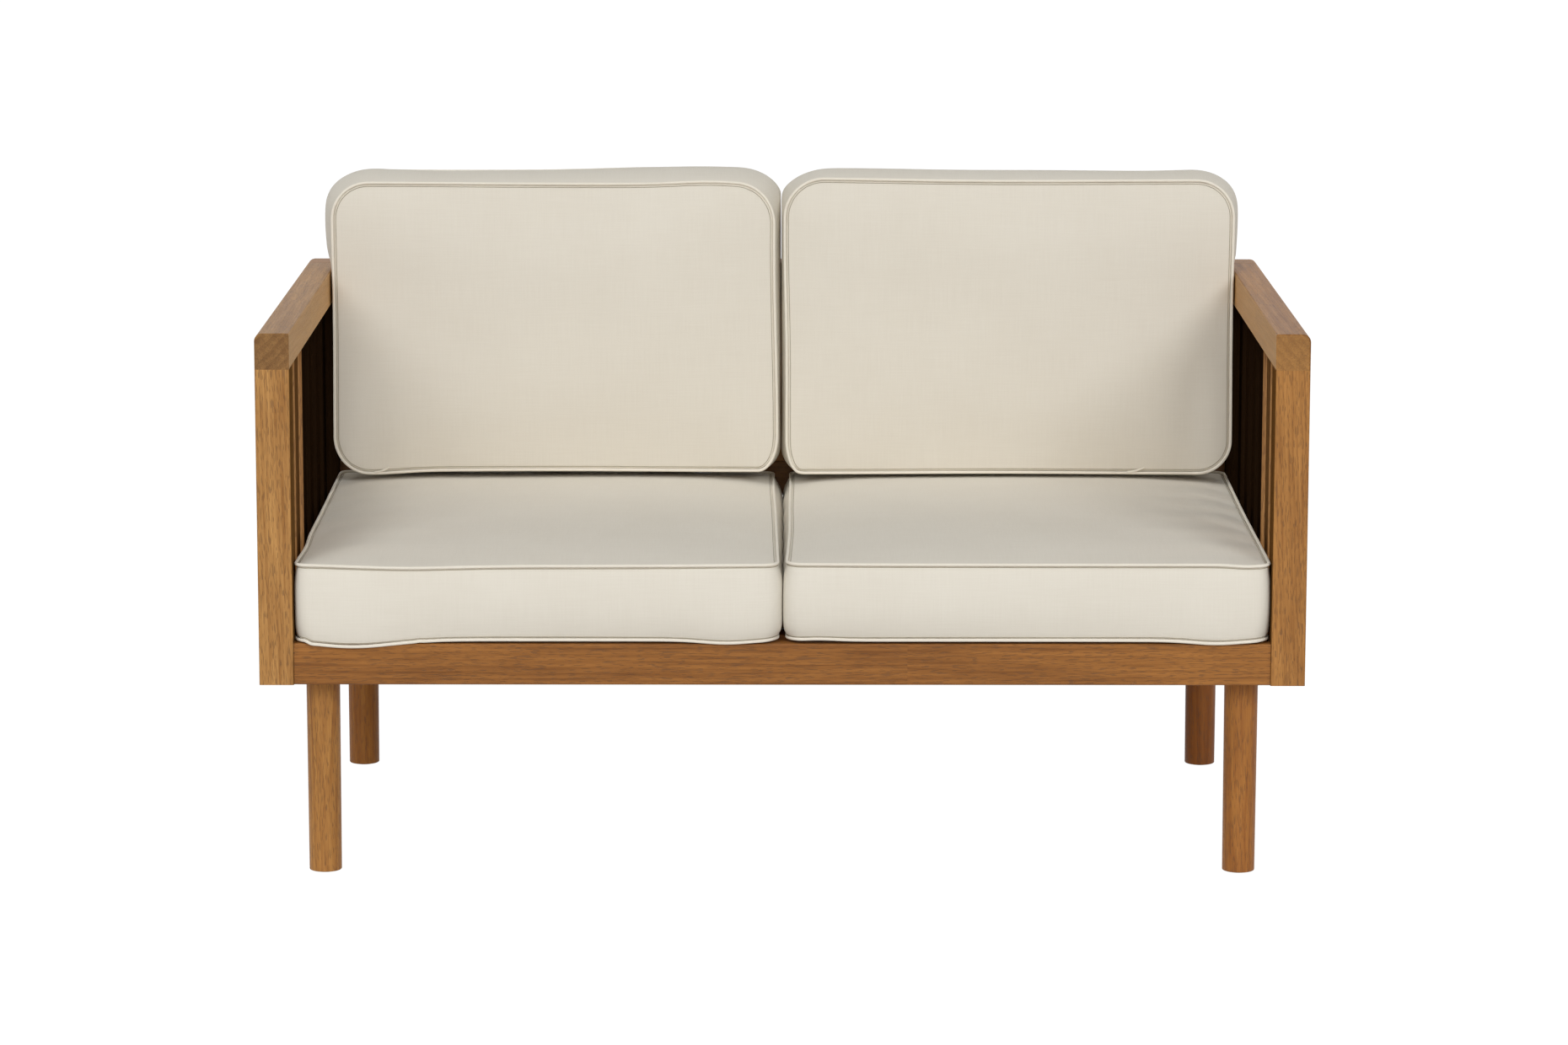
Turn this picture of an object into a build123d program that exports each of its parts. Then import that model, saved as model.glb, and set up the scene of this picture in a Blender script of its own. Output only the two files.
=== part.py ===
from build123d import *
import math
import os

# Patio loveseat: a slatted hardwood box frame on four round legs, with two loose boxed
# seat cushions and two loose boxed back cushions.
# Millimetres. The origin is on the floor under the middle of the frame, +Z is up,
# +X is to the right as the sitter's front is seen, and the front faces -Y.

# Overall frame
overall_width = 1270.0
overall_depth = 740.0
arm_top = 676.0
leg_clear_height = 245.0

# Posts, arms and rails
post_width = 42.0
post_depth = 46.0
arm_height = 44.0
arm_outer_radius = 10.0
edge_round = 2.0
seat_rail_height = 51.0
seat_rail_thickness = 25.0
seat_rail_setback = 3.0
back_lower_rail_height = 46.0
back_lower_rail_thickness = 28.0
back_lower_rail_underside = 361.0

# Upright slats of the sides and the back
side_upright_width = 42.0
back_upright_width = 46.0
upright_thickness = 18.0
upright_tenon_shoulder = 6.0
upright_tenon_thickness = 9.0
upright_tenon_length = 14.0
side_slat_count = 6
back_slat_count = 7
mortise_side_clearance = 0.1
mortise_end_clearance = 0.6

# Seat deck, and what carries it
deck_slat_count = 6
deck_slat_width = 76.0
deck_slat_thickness = 18.0
deck_slat_end_clearance = 0.8
block_length = 90.0
ledger_width = 25.0
ledger_height = 25.0
bearer_width = 30.0

# Round legs and what fixes them
leg_top_diameter = 41.2
leg_foot_diameter = 39.8
leg_inset_side = 72.0
leg_inset_end = 64.0
leg_foot_chamfer = 1.0
glide_diameter = 30.0
glide_thickness = 1.0
glide_nail_diameter = 3.0
glide_nail_length = 15.0
leg_bolt_diameter = 8.0
leg_bolt_depth_in_leg = 42.0
leg_bolt_top_clearance = 2.0
leg_nut_across_flats = 13.0
leg_nut_height = 8.0
leg_nut_flange_diameter = 18.0
leg_nut_flange_thickness = 1.5
leg_nut_recess_diameter = 25.0
leg_nut_recess_depth = 11.0

# Bolts and cross dowels that join the rails to the posts
frame_bolt_diameter = 6.0
frame_bolt_length = 74.0
frame_bolt_head_diameter = 12.0
frame_bolt_head_height = 3.6
frame_bolt_socket_across_flats = 4.0
frame_bolt_socket_depth = 2.0
frame_bolt_recess_diameter = 14.0
frame_bolt_recess_depth = 5.0
barrel_nut_diameter = 10.0
barrel_nut_length = 14.0
barrel_nut_from_joint = 28.0

# Beech dowels in the glued joints
dowel_diameter = 8.0
dowel_length = 40.0
dowel_half_spacing = 11.0

# How much wider and deeper a bore is than what goes into it
bore_clearance = 0.1
bore_end_clearance = 1.0

# Heights of bolts and dowels, as shares of the height of the rail that they go into
bolt_height_share = 0.7
rail_dowel_height_share = 0.28
back_bolt_height_share = 0.68

# Countersunk screws
deck_screw_diameter = 4.0
deck_screw_length = 34.0
block_screw_diameter = 5.0
block_screw_length = 60.0
block_screw_recess_diameter = 11.0
block_screw_recess_depth = 50.0
block_screw_from_corner = 22.0
block_screw_from_face = 10.0
ledger_screw_length = 40.0
ledger_screw_count = 3
ledger_screw_spacing = 145.0
ledger_screw_height_share = 0.4
screw_head_share = 2.0
screw_head_height_share = 0.6

# Cushions
cushion_side_clearance = 2.0
cushion_gap = 6.0
soft_clearance = 0.3
cloth_thickness = 1.2
seam_to_base = 5.0
seat_cushion_setback = 2.0
seat_cushion_thickness = 98.0
seat_cushion_crown = 13.0
seat_cushion_corner_radius = 24.0
seat_cushion_pull = 4.0
seat_cushion_bulge = 2.0
back_cushion_height = 398.0
back_cushion_thickness = 112.0
back_cushion_crown = 15.0
back_cushion_corner_radius = 50.0
back_cushion_pull = 5.0
back_cushion_bulge = 5.0
crown_inset_shares = (0.06, 0.18, 0.38, 0.66)
crown_rise_shares = (0.38, 0.70, 0.92, 1.0)
corner_limit_share = 1 / 3

# Places that follow from the sizes above
half_width = overall_width / 2
front_y = -overall_depth / 2
rear_y = overall_depth / 2
inner_x = half_width - post_width
post_mid_x = half_width - post_width / 2
arm_underside = arm_top - arm_height
seat_rail_top = leg_clear_height + seat_rail_height
front_rail_front = front_y + seat_rail_setback
front_rail_back = front_rail_front + seat_rail_thickness
rear_rail_back = rear_y - seat_rail_setback
rear_rail_front = rear_rail_back - seat_rail_thickness
back_frame_front = rear_y - post_depth
back_mid_y = rear_y - post_depth / 2
back_lower_rail_top = back_lower_rail_underside + back_lower_rail_height
deck_underside = seat_rail_top - deck_slat_thickness
leg_x = half_width - leg_inset_side
leg_y = overall_depth / 2 - leg_inset_end
block_height = deck_underside - leg_clear_height
bolt_height = leg_clear_height + seat_rail_height * bolt_height_share
rail_dowel_height = leg_clear_height + seat_rail_height * rail_dowel_height_share
back_bolt_height = back_lower_rail_underside + back_lower_rail_height * back_bolt_height_share
back_dowel_height = back_lower_rail_underside + back_lower_rail_height * rail_dowel_height_share
front_rail_mid = (front_rail_front + front_rail_back) / 2
rear_rail_mid = (rear_rail_front + rear_rail_back) / 2
SIDES = (("left", -1), ("right", 1))
ENDS = (("front", -1), ("rear", 1))


def block_between(low, high):
    """A plain board from its lowest to its highest corner."""
    size = [b - a for a, b in zip(low, high)]
    middle = [(a + b) / 2 for a, b in zip(low, high)]
    return Pos(*middle) * Box(*size)


def board(x0, x1, y0, y1, z0, z1, along):
    """A board whose four long edges are rounded, for a grain that runs along that axis."""
    low = (min(x0, x1), y0, z0)
    high = (max(x0, x1), y1, z1)
    solid = block_between(low, high)
    return fillet(solid.edges().filter_by(along), edge_round)


def rod(start, direction, length, diameter):
    """A round rod from a point along a direction."""
    plane = Plane(origin=start, z_dir=direction)
    return plane.location * Cylinder(diameter / 2, length, align=(Align.CENTER, Align.CENTER, Align.MIN))


def save(name, solid):
    export_step(solid, os.path.join("parts", name + ".step"))


def group(solids):
    return Compound(children=list(solids))


def shifted(point, direction, distance):
    return tuple(p + d * distance for p, d in zip(point, direction))


# Dowel joints: each is a point on the face where two boards meet, and the way across it
def arm_dowels(sign):
    """Two dowels from the front post up into the arm, and one from the arm into the back rail."""
    middle = front_y + post_depth / 2
    ys = [middle + k * dowel_half_spacing for k in (-1, 1)]
    uprights = [((sign * post_mid_x, y, arm_underside), (0, 0, 1)) for y in ys]
    return uprights, [((sign * post_mid_x, back_frame_front, arm_top - arm_height / 2), (0, 1, 0))]


def rear_post_dowels(sign):
    ys = [back_mid_y + k * dowel_half_spacing for k in (-1, 1)]
    return [((sign * post_mid_x, y, arm_underside), (0, 0, 1)) for y in ys]


def side_rail_dowels(sign, end):
    """Two dowels, one above the other, where a side rail meets a post."""
    y = end * (overall_depth / 2 - post_depth)
    middle = leg_clear_height + seat_rail_height / 2
    return [((sign * post_mid_x, y, middle + k * dowel_half_spacing), (0, 1, 0)) for k in (-1, 1)]


def rail_end_dowel(sign, y, height):
    return [((sign * inner_x, y, height), (1, 0, 0))]


def bearer_dowels():
    height = leg_clear_height + block_height / 2
    return [((0, y, height), (0, 1, 0)) for y in (front_rail_back, rear_rail_front)]


def dowel(site):
    point, way = site
    return rod(shifted(point, way, -dowel_length / 2), way, dowel_length, dowel_diameter)


def dowel_holed(solid, sites):
    """Bores half a dowel deep, and a little more for the glue, into the board on each side."""
    depth = dowel_length + 2 * bore_end_clearance
    for point, way in sites:
        solid -= rod(shifted(point, way, -depth / 2), way, depth, dowel_diameter + 2 * bore_clearance)
    return solid


def bolt_sites():
    """Where a bolt comes in through a post, and which way the rail's inner face lies."""
    sites = []
    for _, sign in SIDES:
        sites.append((sign, front_rail_mid, bolt_height, front_rail_back, 1))
        sites.append((sign, rear_rail_mid, bolt_height, rear_rail_front, -1))
        sites.append((sign, back_mid_y, back_bolt_height, back_mid_y - back_lower_rail_thickness / 2, -1))
    return sites


def frame_bolt(site):
    """A low socket-head bolt: the head sits in its recess in the post's outer face."""
    sign, y, z, _, _ = site
    seat = (sign * (half_width - frame_bolt_recess_depth), y, z)
    inward = (-sign, 0, 0)
    outward = (sign, 0, 0)
    head = rod(seat, outward, frame_bolt_head_height, frame_bolt_head_diameter)
    top = shifted(seat, outward, frame_bolt_head_height - frame_bolt_socket_depth)
    socket_plane = Plane(origin=top, z_dir=outward)
    socket_radius = frame_bolt_socket_across_flats / math.sqrt(3)
    socket = extrude(socket_plane * RegularPolygon(socket_radius, 6), frame_bolt_socket_depth)
    return head - socket + rod(seat, inward, frame_bolt_length, frame_bolt_diameter)


def barrel_nut(site):
    """A round cross nut in the rail, bored across for its bolt."""
    sign, y, z, _, into = site
    x = sign * (inner_x - barrel_nut_from_joint)
    reach = y + into * barrel_nut_length / 2
    nut = rod((x, reach, z), (0, -into, 0), barrel_nut_length, barrel_nut_diameter)
    across = frame_bolt_diameter + 2 * bore_clearance
    return nut - rod((x - barrel_nut_diameter, y, z), (1, 0, 0), 2 * barrel_nut_diameter, across)


def bolt_holed(solid, sites):
    """The recess, the bolt's own bore and the bore for the cross nut, open at the rail's inner face."""
    for sign, y, z, face, into in sites:
        outer = (sign * half_width, y, z)
        inward = (-sign, 0, 0)
        solid -= rod(outer, inward, frame_bolt_recess_depth, frame_bolt_recess_diameter)
        bore = frame_bolt_recess_depth + frame_bolt_length + bore_end_clearance
        solid -= rod(outer, inward, bore, frame_bolt_diameter + 2 * bore_clearance)
        x = sign * (inner_x - barrel_nut_from_joint)
        deep = abs(face - y) + barrel_nut_length / 2
        solid -= rod((x, face, z), (0, -into, 0), deep, barrel_nut_diameter + 2 * bore_clearance)
    return solid


# Upright slats: a board with a tenon at each end
def upright_section(across):
    """Sizes along X and Y of an upright slat and of its tenons, for a width along X or along Y."""
    width = back_upright_width if across == "X" else side_upright_width
    wide = (width, upright_thickness)
    narrow = (width - 2 * upright_tenon_shoulder, upright_tenon_thickness)
    if across == "Y":
        return wide[::-1], narrow[::-1]
    return wide, narrow


def upright(middle, across, low, high):
    """An upright slat at a middle point, its width along X or along Y."""
    wide, narrow = upright_section(across)
    x, y = middle
    body = board(x - wide[0] / 2, x + wide[0] / 2, y - wide[1] / 2, y + wide[1] / 2, low, high, Axis.Z)
    tenon_low = (x - narrow[0] / 2, y - narrow[1] / 2, low - upright_tenon_length)
    tenon_high = (x + narrow[0] / 2, y + narrow[1] / 2, high + upright_tenon_length)
    return body + block_between(tenon_low, tenon_high)


def mortised(solid, middles, across, level):
    """Slots for the tenons of uprights that stand on or hang from this level."""
    _, narrow = upright_section(across)
    half = [n / 2 + mortise_side_clearance for n in narrow]
    deep = upright_tenon_length + mortise_end_clearance
    for x, y in middles:
        slot_low = (x - half[0], y - half[1], level - deep)
        slot_high = (x + half[0], y + half[1], level + deep)
        solid -= block_between(slot_low, slot_high)
    return solid


def spread(count, width, low, high):
    """Middles of so many boards, evenly apart between two ends."""
    gap = (high - low - count * width) / (count + 1)
    return [low + gap + width / 2 + k * (gap + width) for k in range(count)]


def side_slat_middles(sign):
    ys = spread(side_slat_count, side_upright_width, front_y + post_depth, rear_y - post_depth)
    return [(sign * post_mid_x, y) for y in ys]


back_slat_middles = [(x, back_mid_y) for x in spread(back_slat_count, back_upright_width, -inner_x, inner_x)]
deck_slat_middles = spread(deck_slat_count, deck_slat_width, front_rail_back, rear_rail_front)


# Side frames
def post_board(sign, low_y):
    """A post from the bottom of the seat box up to the arm, with its face nearest the front at low_y."""
    return board(
        sign * inner_x,
        sign * half_width,
        low_y,
        low_y + post_depth,
        leg_clear_height,
        arm_underside,
        Axis.Z,
    )


def front_post(sign):
    post = post_board(sign, front_y)
    sites = arm_dowels(sign)[0] + side_rail_dowels(sign, -1)
    post = dowel_holed(post, sites + rail_end_dowel(sign, front_rail_mid, rail_dowel_height))
    return bolt_holed(post, [s for s in bolt_sites() if s[0] == sign and s[1] < 0])


def rear_post(sign):
    post = post_board(sign, back_frame_front)
    sites = rear_post_dowels(sign) + side_rail_dowels(sign, 1)
    sites += rail_end_dowel(sign, rear_rail_mid, rail_dowel_height)
    post = dowel_holed(post, sites + rail_end_dowel(sign, back_mid_y, back_dowel_height))
    return bolt_holed(post, [s for s in bolt_sites() if s[0] == sign and s[1] > 0])


def arm(sign):
    """The arm lies over the front post and the side slats; its outer top edge is well rounded."""
    low = (min(sign * inner_x, sign * half_width), front_y, arm_underside)
    high = (max(sign * inner_x, sign * half_width), back_frame_front, arm_top)
    solid = block_between(low, high)
    upper = [e for e in solid.edges().filter_by(Axis.Y) if e.center().Z > arm_top - edge_round]
    solid = fillet([e for e in upper if abs(e.center().X) > post_mid_x], arm_outer_radius)
    front_top = solid.edges().filter_by(Axis.X).sort_by(Axis.Z)[-2:].sort_by(Axis.Y)[0]
    inner = [e for e in solid.edges().filter_by(Axis.Y) if abs(e.center().X) < inner_x + edge_round]
    solid = fillet([front_top] + inner, edge_round)
    up, back = arm_dowels(sign)
    return mortised(dowel_holed(solid, up + back), side_slat_middles(sign), "Y", arm_underside)


def side_rail(sign):
    rail = board(
        sign * inner_x,
        sign * half_width,
        front_y + post_depth,
        rear_y - post_depth,
        leg_clear_height,
        seat_rail_top,
        Axis.Y,
    )
    rail = dowel_holed(rail, side_rail_dowels(sign, -1) + side_rail_dowels(sign, 1))
    rail = mortised(rail, side_slat_middles(sign), "Y", seat_rail_top)
    for site in block_screws(sign) + ledger_screws(sign):
        rail -= screw_bore(site)
    return rail


# Back frame
def back_top_rail():
    """The rail across the back, over both rear posts and flush with the arms."""
    solid = block_between((-half_width, back_frame_front, arm_underside), (half_width, rear_y, arm_top))
    ends = [e for e in solid.edges().filter_by(Axis.Y) if e.center().Z > arm_top - edge_round]
    solid = fillet(ends, arm_outer_radius)
    long_top = [e for e in solid.edges().filter_by(Axis.X) if e.center().Z > arm_top - edge_round]
    solid = chamfer(long_top, edge_round / 2)
    sites = []
    for _, sign in SIDES:
        sites += rear_post_dowels(sign) + arm_dowels(sign)[1]
    return mortised(dowel_holed(solid, sites), back_slat_middles, "X", arm_underside)


def back_lower_rail():
    half = back_lower_rail_thickness / 2
    rail = board(
        -inner_x,
        inner_x,
        back_mid_y - half,
        back_mid_y + half,
        back_lower_rail_underside,
        back_lower_rail_top,
        Axis.X,
    )
    for _, sign in SIDES:
        rail = dowel_holed(rail, rail_end_dowel(sign, back_mid_y, back_dowel_height))
    rail = bolt_holed(rail, [s for s in bolt_sites() if s[2] == back_bolt_height])
    return mortised(rail, back_slat_middles, "X", back_lower_rail_top)


# Seat box
def long_seat_rail(end):
    """The rail between the two front posts, or between the two rear posts."""
    low, high = (front_rail_front, front_rail_back) if end < 0 else (rear_rail_front, rear_rail_back)
    rail = board(-inner_x, inner_x, low, high, leg_clear_height, seat_rail_top, Axis.X)
    middle = (low + high) / 2
    for _, sign in SIDES:
        rail = dowel_holed(rail, rail_end_dowel(sign, middle, rail_dowel_height))
        for site in block_screws(sign):
            rail -= screw_bore(site)
    rail = dowel_holed(rail, bearer_dowels())
    return bolt_holed(rail, [s for s in bolt_sites() if s[1] == middle and s[2] == bolt_height])


def block_span(sign, end):
    """Lowest and highest corner of one corner block."""
    face = front_rail_back if end < 0 else rear_rail_front
    xs = sorted((sign * inner_x, sign * (inner_x - block_length)))
    ys = sorted((face, face - end * block_length))
    return (xs[0], ys[0], leg_clear_height), (xs[1], ys[1], deck_underside)


def corner_block(sign, end):
    """A hardwood block in each corner of the seat box: the leg's bolt goes up through it."""
    low, high = block_span(sign, end)
    block = chamfer(block_between(low, high).edges().filter_by(Axis.Z), edge_round)
    centre = (sign * leg_x, end * leg_y)
    bolt = leg_bolt_diameter + 2 * bore_clearance
    block -= rod((*centre, leg_clear_height), (0, 0, 1), block_height, bolt)
    recess_floor = deck_underside - leg_nut_recess_depth
    block -= rod((*centre, recess_floor), (0, 0, 1), leg_nut_recess_depth, leg_nut_recess_diameter)
    for site in block_screws(sign):
        block -= screw_bore(site)
    for site in deck_screws():
        if low[0] < site[0][0] < high[0] and low[1] < site[0][1] < high[1]:
            block -= screw_bore(site)
    return block


def ledger(sign):
    """The strip along a side rail that carries the ends of the deck slats."""
    reach = rear_rail_front - block_length
    strip = board(
        sign * (inner_x - ledger_width),
        sign * inner_x,
        -reach,
        reach,
        deck_underside - ledger_height,
        deck_underside,
        Axis.Y,
    )
    over_strip = [s for s in deck_screws() if s[0][0] * sign > 0 and abs(s[0][1]) < reach]
    for site in over_strip + ledger_screws(sign):
        strip -= screw_bore(site)
    return strip


def centre_bearer():
    bearer = board(
        -bearer_width / 2,
        bearer_width / 2,
        front_rail_back,
        rear_rail_front,
        leg_clear_height,
        deck_underside,
        Axis.Y,
    )
    bearer = dowel_holed(bearer, bearer_dowels())
    for site in deck_screws():
        if site[0][0] == 0:
            bearer -= screw_bore(site)
    return bearer


def deck_slat(middle):
    reach = inner_x - deck_slat_end_clearance
    half = deck_slat_width / 2
    slat = board(-reach, reach, middle - half, middle + half, deck_underside, seat_rail_top, Axis.X)
    for site in deck_screws():
        if abs(site[0][1] - middle) < half:
            slat -= screw_bore(site)
    return slat


# Screws: a point at the top of the head, the way the screw goes in, its diameter and its length
def deck_screws():
    xs = (-inner_x + ledger_width / 2, 0, inner_x - ledger_width / 2)
    return [
        ((x, y, seat_rail_top), (0, 0, -1), deck_screw_diameter, deck_screw_length)
        for y in deck_slat_middles
        for x in xs
    ]


def block_screws(sign):
    """One screw into the long rail and one into the side rail, sunk in deep bores in each block."""
    sites = []
    for _, end in ENDS:
        face = front_rail_back if end < 0 else rear_rail_front
        open_y = face - end * (block_length - block_screw_recess_depth)
        open_x = sign * (inner_x - block_length + block_screw_recess_depth)
        near_x = sign * (inner_x - block_length + block_screw_from_corner)
        near_y = face - end * (block_length - block_screw_from_corner)
        low = leg_clear_height + block_screw_from_face
        high = deck_underside - block_screw_from_face
        sites.append(((near_x, open_y, high), (0, end, 0), block_screw_diameter, block_screw_length))
        sites.append(((open_x, near_y, low), (sign, 0, 0), block_screw_diameter, block_screw_length))
    return sites


def ledger_screws(sign):
    x = sign * (inner_x - ledger_width)
    z = deck_underside - ledger_height * (1 - ledger_screw_height_share)
    ys = [(k - (ledger_screw_count - 1) / 2) * ledger_screw_spacing for k in range(ledger_screw_count)]
    return [((x, y, z), (sign, 0, 0), deck_screw_diameter, ledger_screw_length) for y in ys]


def screw(site):
    """A countersunk screw with a cone head and a pointed tip."""
    point, way, diameter, length = site
    head = diameter * screw_head_share / 2
    cone = diameter * screw_head_height_share
    shank = diameter / 2
    taper = length - diameter
    outline = Polyline((0, 0), (head, 0), (shank, cone), (shank, taper), (0, length), close=True)
    return Plane(origin=point, z_dir=way).location * revolve(Plane.XZ * make_face(outline), Axis.Z)


def screw_bore(site):
    """The hole of a screw, with its countersink, and the wide bore behind a sunk head."""
    point, way, diameter, length = site
    head = diameter * screw_head_share / 2 + bore_clearance
    cone = diameter * screw_head_height_share + bore_clearance
    shank = diameter / 2 + bore_clearance
    outline = Polyline((0, 0), (head, 0), (shank, cone), (shank, length), (0, length), close=True)
    bore = Plane(origin=point, z_dir=way).location * revolve(Plane.XZ * make_face(outline), Axis.Z)
    if diameter == block_screw_diameter:
        back = tuple(-w for w in way)
        bore += rod(point, back, block_screw_recess_depth, block_screw_recess_diameter)
    return bore


# Legs
def leg(sign, end):
    """A round leg, a little slimmer at the foot, bored for its hanger bolt and the glide's nail."""
    length = leg_clear_height - glide_thickness
    top = leg_top_diameter / 2
    foot = leg_foot_diameter / 2
    toe = (foot - leg_foot_chamfer, 0)
    outline = Polyline((0, 0), toe, (foot, leg_foot_chamfer), (top, length), (0, length), close=True)
    turned = revolve(Plane.XZ * make_face(outline), Axis.Z)
    turned = Pos(sign * leg_x, end * leg_y, glide_thickness) * turned
    centre = (sign * leg_x, end * leg_y)
    bolt = leg_bolt_diameter + 2 * bore_clearance
    depth = leg_bolt_depth_in_leg + bore_end_clearance
    turned -= rod((*centre, leg_clear_height), (0, 0, -1), depth, bolt)
    nail = glide_nail_diameter + 2 * bore_clearance
    return turned - rod((*centre, glide_thickness), (0, 0, 1), glide_nail_length + bore_end_clearance, nail)


def hanger_bolt(sign, end):
    start = (sign * leg_x, end * leg_y, leg_clear_height - leg_bolt_depth_in_leg)
    above = block_height - leg_bolt_top_clearance
    return rod(start, (0, 0, 1), leg_bolt_depth_in_leg + above, leg_bolt_diameter)


def leg_nut(sign, end):
    """A flanged hexagon nut on the floor of the block's recess."""
    floor = (sign * leg_x, end * leg_y, deck_underside - leg_nut_recess_depth)
    corner_radius = leg_nut_across_flats / math.sqrt(3)
    hexagon = extrude(Plane(origin=floor) * RegularPolygon(corner_radius, 6), leg_nut_height)
    nut = hexagon + rod(floor, (0, 0, 1), leg_nut_flange_thickness, leg_nut_flange_diameter)
    return nut - rod(floor, (0, 0, 1), leg_nut_height, leg_bolt_diameter + 2 * bore_clearance)


def foot_glide(sign, end):
    """A nylon pad nailed under the leg."""
    floor = (sign * leg_x, end * leg_y, 0)
    pad = rod(floor, (0, 0, 1), glide_thickness, glide_diameter)
    nail_top = glide_thickness + glide_nail_length
    return pad + rod(floor, (0, 0, 1), nail_top, glide_nail_diameter)


# Cushions: lofts through outlines of four drawn-in sides and four round corners
def cushion_outline(width, depth, corner, pull, height):
    """One closed outline: each side is an arc that pulls in at its middle."""
    hw = width / 2
    hd = depth / 2
    cut = corner * (1 - math.sqrt(0.5))
    sides = [
        ((-hw + corner, -hd), (0, -hd + pull), (hw - corner, -hd), (hw - cut, -hd + cut)),
        ((hw, -hd + corner), (hw - pull, 0), (hw, hd - corner), (hw - cut, hd - cut)),
        ((hw - corner, hd), (0, hd - pull), (-hw + corner, hd), (-hw + cut, hd - cut)),
        ((-hw, hd - corner), (-hw + pull, 0), (-hw, -hd + corner), (-hw + cut, -hd + cut)),
    ]
    lines = []
    for k, (start, middle, stop, turn) in enumerate(sides):
        following = sides[(k + 1) % len(sides)][0]
        lines.append(ThreePointArc(start, middle, stop))
        lines.append(ThreePointArc(stop, turn, following))
    return Pos(0, 0, height) * make_face(Wire(lines))


def cushion(width, depth, thickness, crown, corner, pull, bulge, skin=0.0):
    """A boxed cushion on its flat face: boxing up to the seam, and a crowned panel on top.

    skin is how far the form lies inside the outer one, so it makes the cavity and the foam too.
    """
    wide = width - 2 * skin
    deep = depth - 2 * skin
    seam = 2 * bulge
    stations = [
        (skin, seam + seam_to_base),
        (skin + seam_to_base, seam),
        ((skin + thickness) / 2, 0.0),
        (thickness - skin, seam),
    ]
    reach = min(wide, deep) / 2
    for inset, rise in zip(crown_inset_shares, crown_rise_shares):
        stations.append((thickness - skin + crown * rise, seam + 2 * reach * inset))
    outlines = []
    for height, smaller in stations:
        round_off = min(corner - skin + smaller / 2, (min(wide, deep) - smaller) * corner_limit_share)
        draw_in = pull * (1 - smaller / min(wide, deep))
        outlines.append(cushion_outline(wide - smaller, deep - smaller, round_off, draw_in, height))
    return loft(outlines, ruled=True)


seat_cushion_width = inner_x - cushion_side_clearance - cushion_gap / 2
seat_cushion_depth = back_frame_front - front_y - seat_cushion_setback - 2 * soft_clearance
seat_cushion_x = (inner_x - cushion_side_clearance + cushion_gap / 2) / 2
seat_cushion_y = front_y + seat_cushion_setback + seat_cushion_depth / 2
seat_cushion_base = seat_rail_top + soft_clearance
seat_cushion_top = seat_cushion_base + seat_cushion_thickness + seat_cushion_crown
back_cushion_base = seat_cushion_top + soft_clearance


def seat_cushion(sign, skin):
    form = cushion(
        seat_cushion_width,
        seat_cushion_depth,
        seat_cushion_thickness,
        seat_cushion_crown,
        seat_cushion_corner_radius,
        seat_cushion_pull,
        seat_cushion_bulge,
        skin,
    )
    return Pos(sign * seat_cushion_x, seat_cushion_y, seat_cushion_base) * form


def back_cushion(sign, skin):
    """Stands on the seat cushion with its flat face against the back frame and its crown forward."""
    form = cushion(
        seat_cushion_width,
        back_cushion_height,
        back_cushion_thickness,
        back_cushion_crown,
        back_cushion_corner_radius,
        back_cushion_pull,
        back_cushion_bulge,
        skin,
    )
    middle = back_cushion_base + back_cushion_height / 2
    return Pos(sign * seat_cushion_x, back_frame_front - soft_clearance, middle) * Rot(90, 0, 0) * form


def cover(form, sign):
    """The sewn cloth round the foam."""
    return form(sign, 0.0) - form(sign, cloth_thickness)


def foam_core(form, sign):
    return form(sign, cloth_thickness + soft_clearance)


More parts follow.
